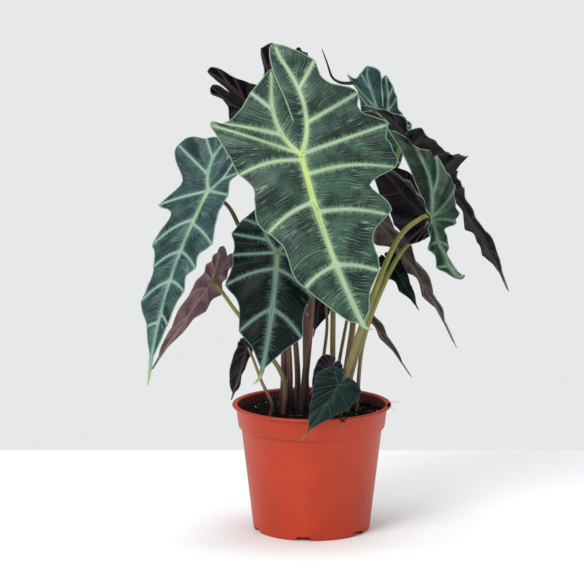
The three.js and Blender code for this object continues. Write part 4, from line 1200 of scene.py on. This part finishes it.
def scatter(name, places, finishName, seed):  # one piece of many lumps at (x, y, z, radius)
    draw = random.Random(seed)
    kinds = []
    for _ in range(crumbShape["kinds"]):
        deselectAll()
        bpy.ops.mesh.primitive_ico_sphere_add(subdivisions=1, radius=1)
        kinds.append(bpy.context.object)
        for vertex in kinds[-1].data.vertices:
            vertex.co *= draw.uniform(*crumbShape["roughness"])
    copies = []
    for x, y, z, radius in places:
        source = kinds[draw.randrange(crumbShape["kinds"])]
        made = source.copy()
        made.data = source.data.copy()
        turn = Matrix.Rotation(draw.uniform(0, 6.28), 4, (draw.uniform(-1, 1), draw.uniform(-1, 1), 1))
        grow = Matrix.Diagonal((*(radius * mm * draw.uniform(*crumbShape["stretch"]) for _ in range(3)), 1))
        made.data.transform(Matrix.Translation((x * mm, y * mm, z * mm)) @ turn @ grow)
        bpy.context.collection.objects.link(made)
        copies.append(made)
    for kind in kinds:
        bpy.data.objects.remove(kind)
    pick(*copies)
    bpy.ops.object.join()
    piece = bpy.context.object
    piece.name = name
    settle(piece)
    asSoil(piece, finishName)


def clingingPlaces(middle, spread, count, seed):  # crumbs that cling together on the lip
    draw = random.Random(seed)
    return [tuple(m + draw.gauss(0, w) for m, w in zip(middle, spread)) + (draw.uniform(0.5, 1.5),)
            for _ in range(count)]


def crumbPlaces(count, low, high, seed):  # lumps of low to high radius, mostly small, all over the soil
    draw = random.Random(seed)
    places = []
    for _ in range(count):
        away = soil["spread"] * math.sqrt(draw.random())
        turn = draw.uniform(0, 2 * math.pi)
        x, y = away * math.cos(turn), away * math.sin(turn)
        radius = mix(low, high, draw.random() ** 2.5)
        places.append((x, y, soilTop(x, y) + 0.3 * radius, radius))
    return places


def hairs(name, routes, radius, taper=(1, 0.3)):  # threads through the points of their routes
    deselectAll()
    bpy.ops.curve.primitive_nurbs_path_add()
    piece = bpy.context.object
    piece.name = name
    curve = piece.data
    curve.splines.clear()
    curve.dimensions = "3D"
    curve.bevel_depth = radius * mm
    curve.bevel_resolution = 1
    curve.use_fill_caps = True
    for route in routes:
        spline = curve.splines.new("NURBS")
        spline.points.add(len(route) - 1)
        spline.use_endpoint_u = True
        spline.order_u = 3
        for k, (x, y, z) in enumerate(route):
            spline.points[k].co = (x * mm, y * mm, z * mm, 1)
            spline.points[k].radius = mix(*taper, k / (len(route) - 1))
    pick(piece)
    bpy.ops.object.convert(target="MESH")
    settle(bpy.context.object)
    return bpy.context.object


def hairRoutes(count, seed):  # wandering threads on top of the soil
    draw = random.Random(seed)
    routes = []
    for _ in range(count):
        x, y = draw.uniform(*rootHairs["x"]), draw.uniform(*rootHairs["y"])
        turn = draw.uniform(0, 2 * math.pi)
        route = []
        for _ in range(rootHairs["knots"]):
            if math.hypot(x, y) < rootHairs["limit"]:
                route.append((x, y, soilTop(x, y) + rootHairs["lift"] + draw.uniform(0, rootHairs["loose"])))
            turn += draw.uniform(-rootHairs["bend"], rootHairs["bend"])
            x += rootHairs["step"] * math.cos(turn)
            y += rootHairs["step"] * math.sin(turn)
        if len(route) > 3:
            routes.append(route)
    return routes


rimCrumbs = (
    {"middle": (91.5, -20, 153.2), "spread": (1.6, 3.5, 0.8), "count": 16, "seed": 21},
    {"middle": (35, -89.5, 150), "spread": (3, 0.9, 1.6), "count": 14, "seed": 22},
)
rimHairRadius = 0.24
rimHairs = (
    ((90, -19, 153), (96, -21, 158), (103, -24, 158.5), (109, -26, 156)),
    ((92, -22, 153), (97, -24, 150), (99, -25, 146)),
    ((91, -16, 153), (94, -18, 158), (99, -20, 161)),
    ((36, -89, 151), (35, -92, 144), (30, -92.5, 136), (27, -91.5, 127)),
    ((33, -89, 151), (32, -92.5, 145), (33, -92.5, 138)),
    ((38, -88, 151), (41, -91, 146), (40, -91.5, 140)),
)
witheredTip = {
    "radius": 2.6, "taper": (1, 0.2),
    "route": ((50, 98.5, 526), (42, 98, 525), (32, 97, 527), (24, 95, 533), (20, 94, 547), (16, 94, 558),
              (12.6, 94, 567)),
}


def makeWitheredTip():  # dry drip tip on the rear lobe of a back leaf
    piece = hairs("withered_tip", [witheredTip["route"]], witheredTip["radius"], witheredTip["taper"])
    asSoil(piece, "witheredBrown")


makeSoil()
scatter("soil_crumbs", crumbPlaces(soil["crumbs"], *soil["crumbSizes"], seed=5), "darkSoil", 6)
scatter("perlite_bits", crumbPlaces(soil["perlite"], *soil["perliteSizes"], seed=9), "whitePerlite", 10)
asSoil(hairs("root_hairs", hairRoutes(rootHairs["count"], 12), rootHairs["radius"]), "rootFibre")
for k, cluster in enumerate(rimCrumbs):
    scatter(f"rim_crumbs_{k}", clingingPlaces(**cluster), "darkSoil", 30 + k)
asSoil(hairs("rim_hairs", rimHairs, rimHairRadius), "rootFibre")
makeWitheredTip()
print("soil, crumbs, roots and the withered tip")
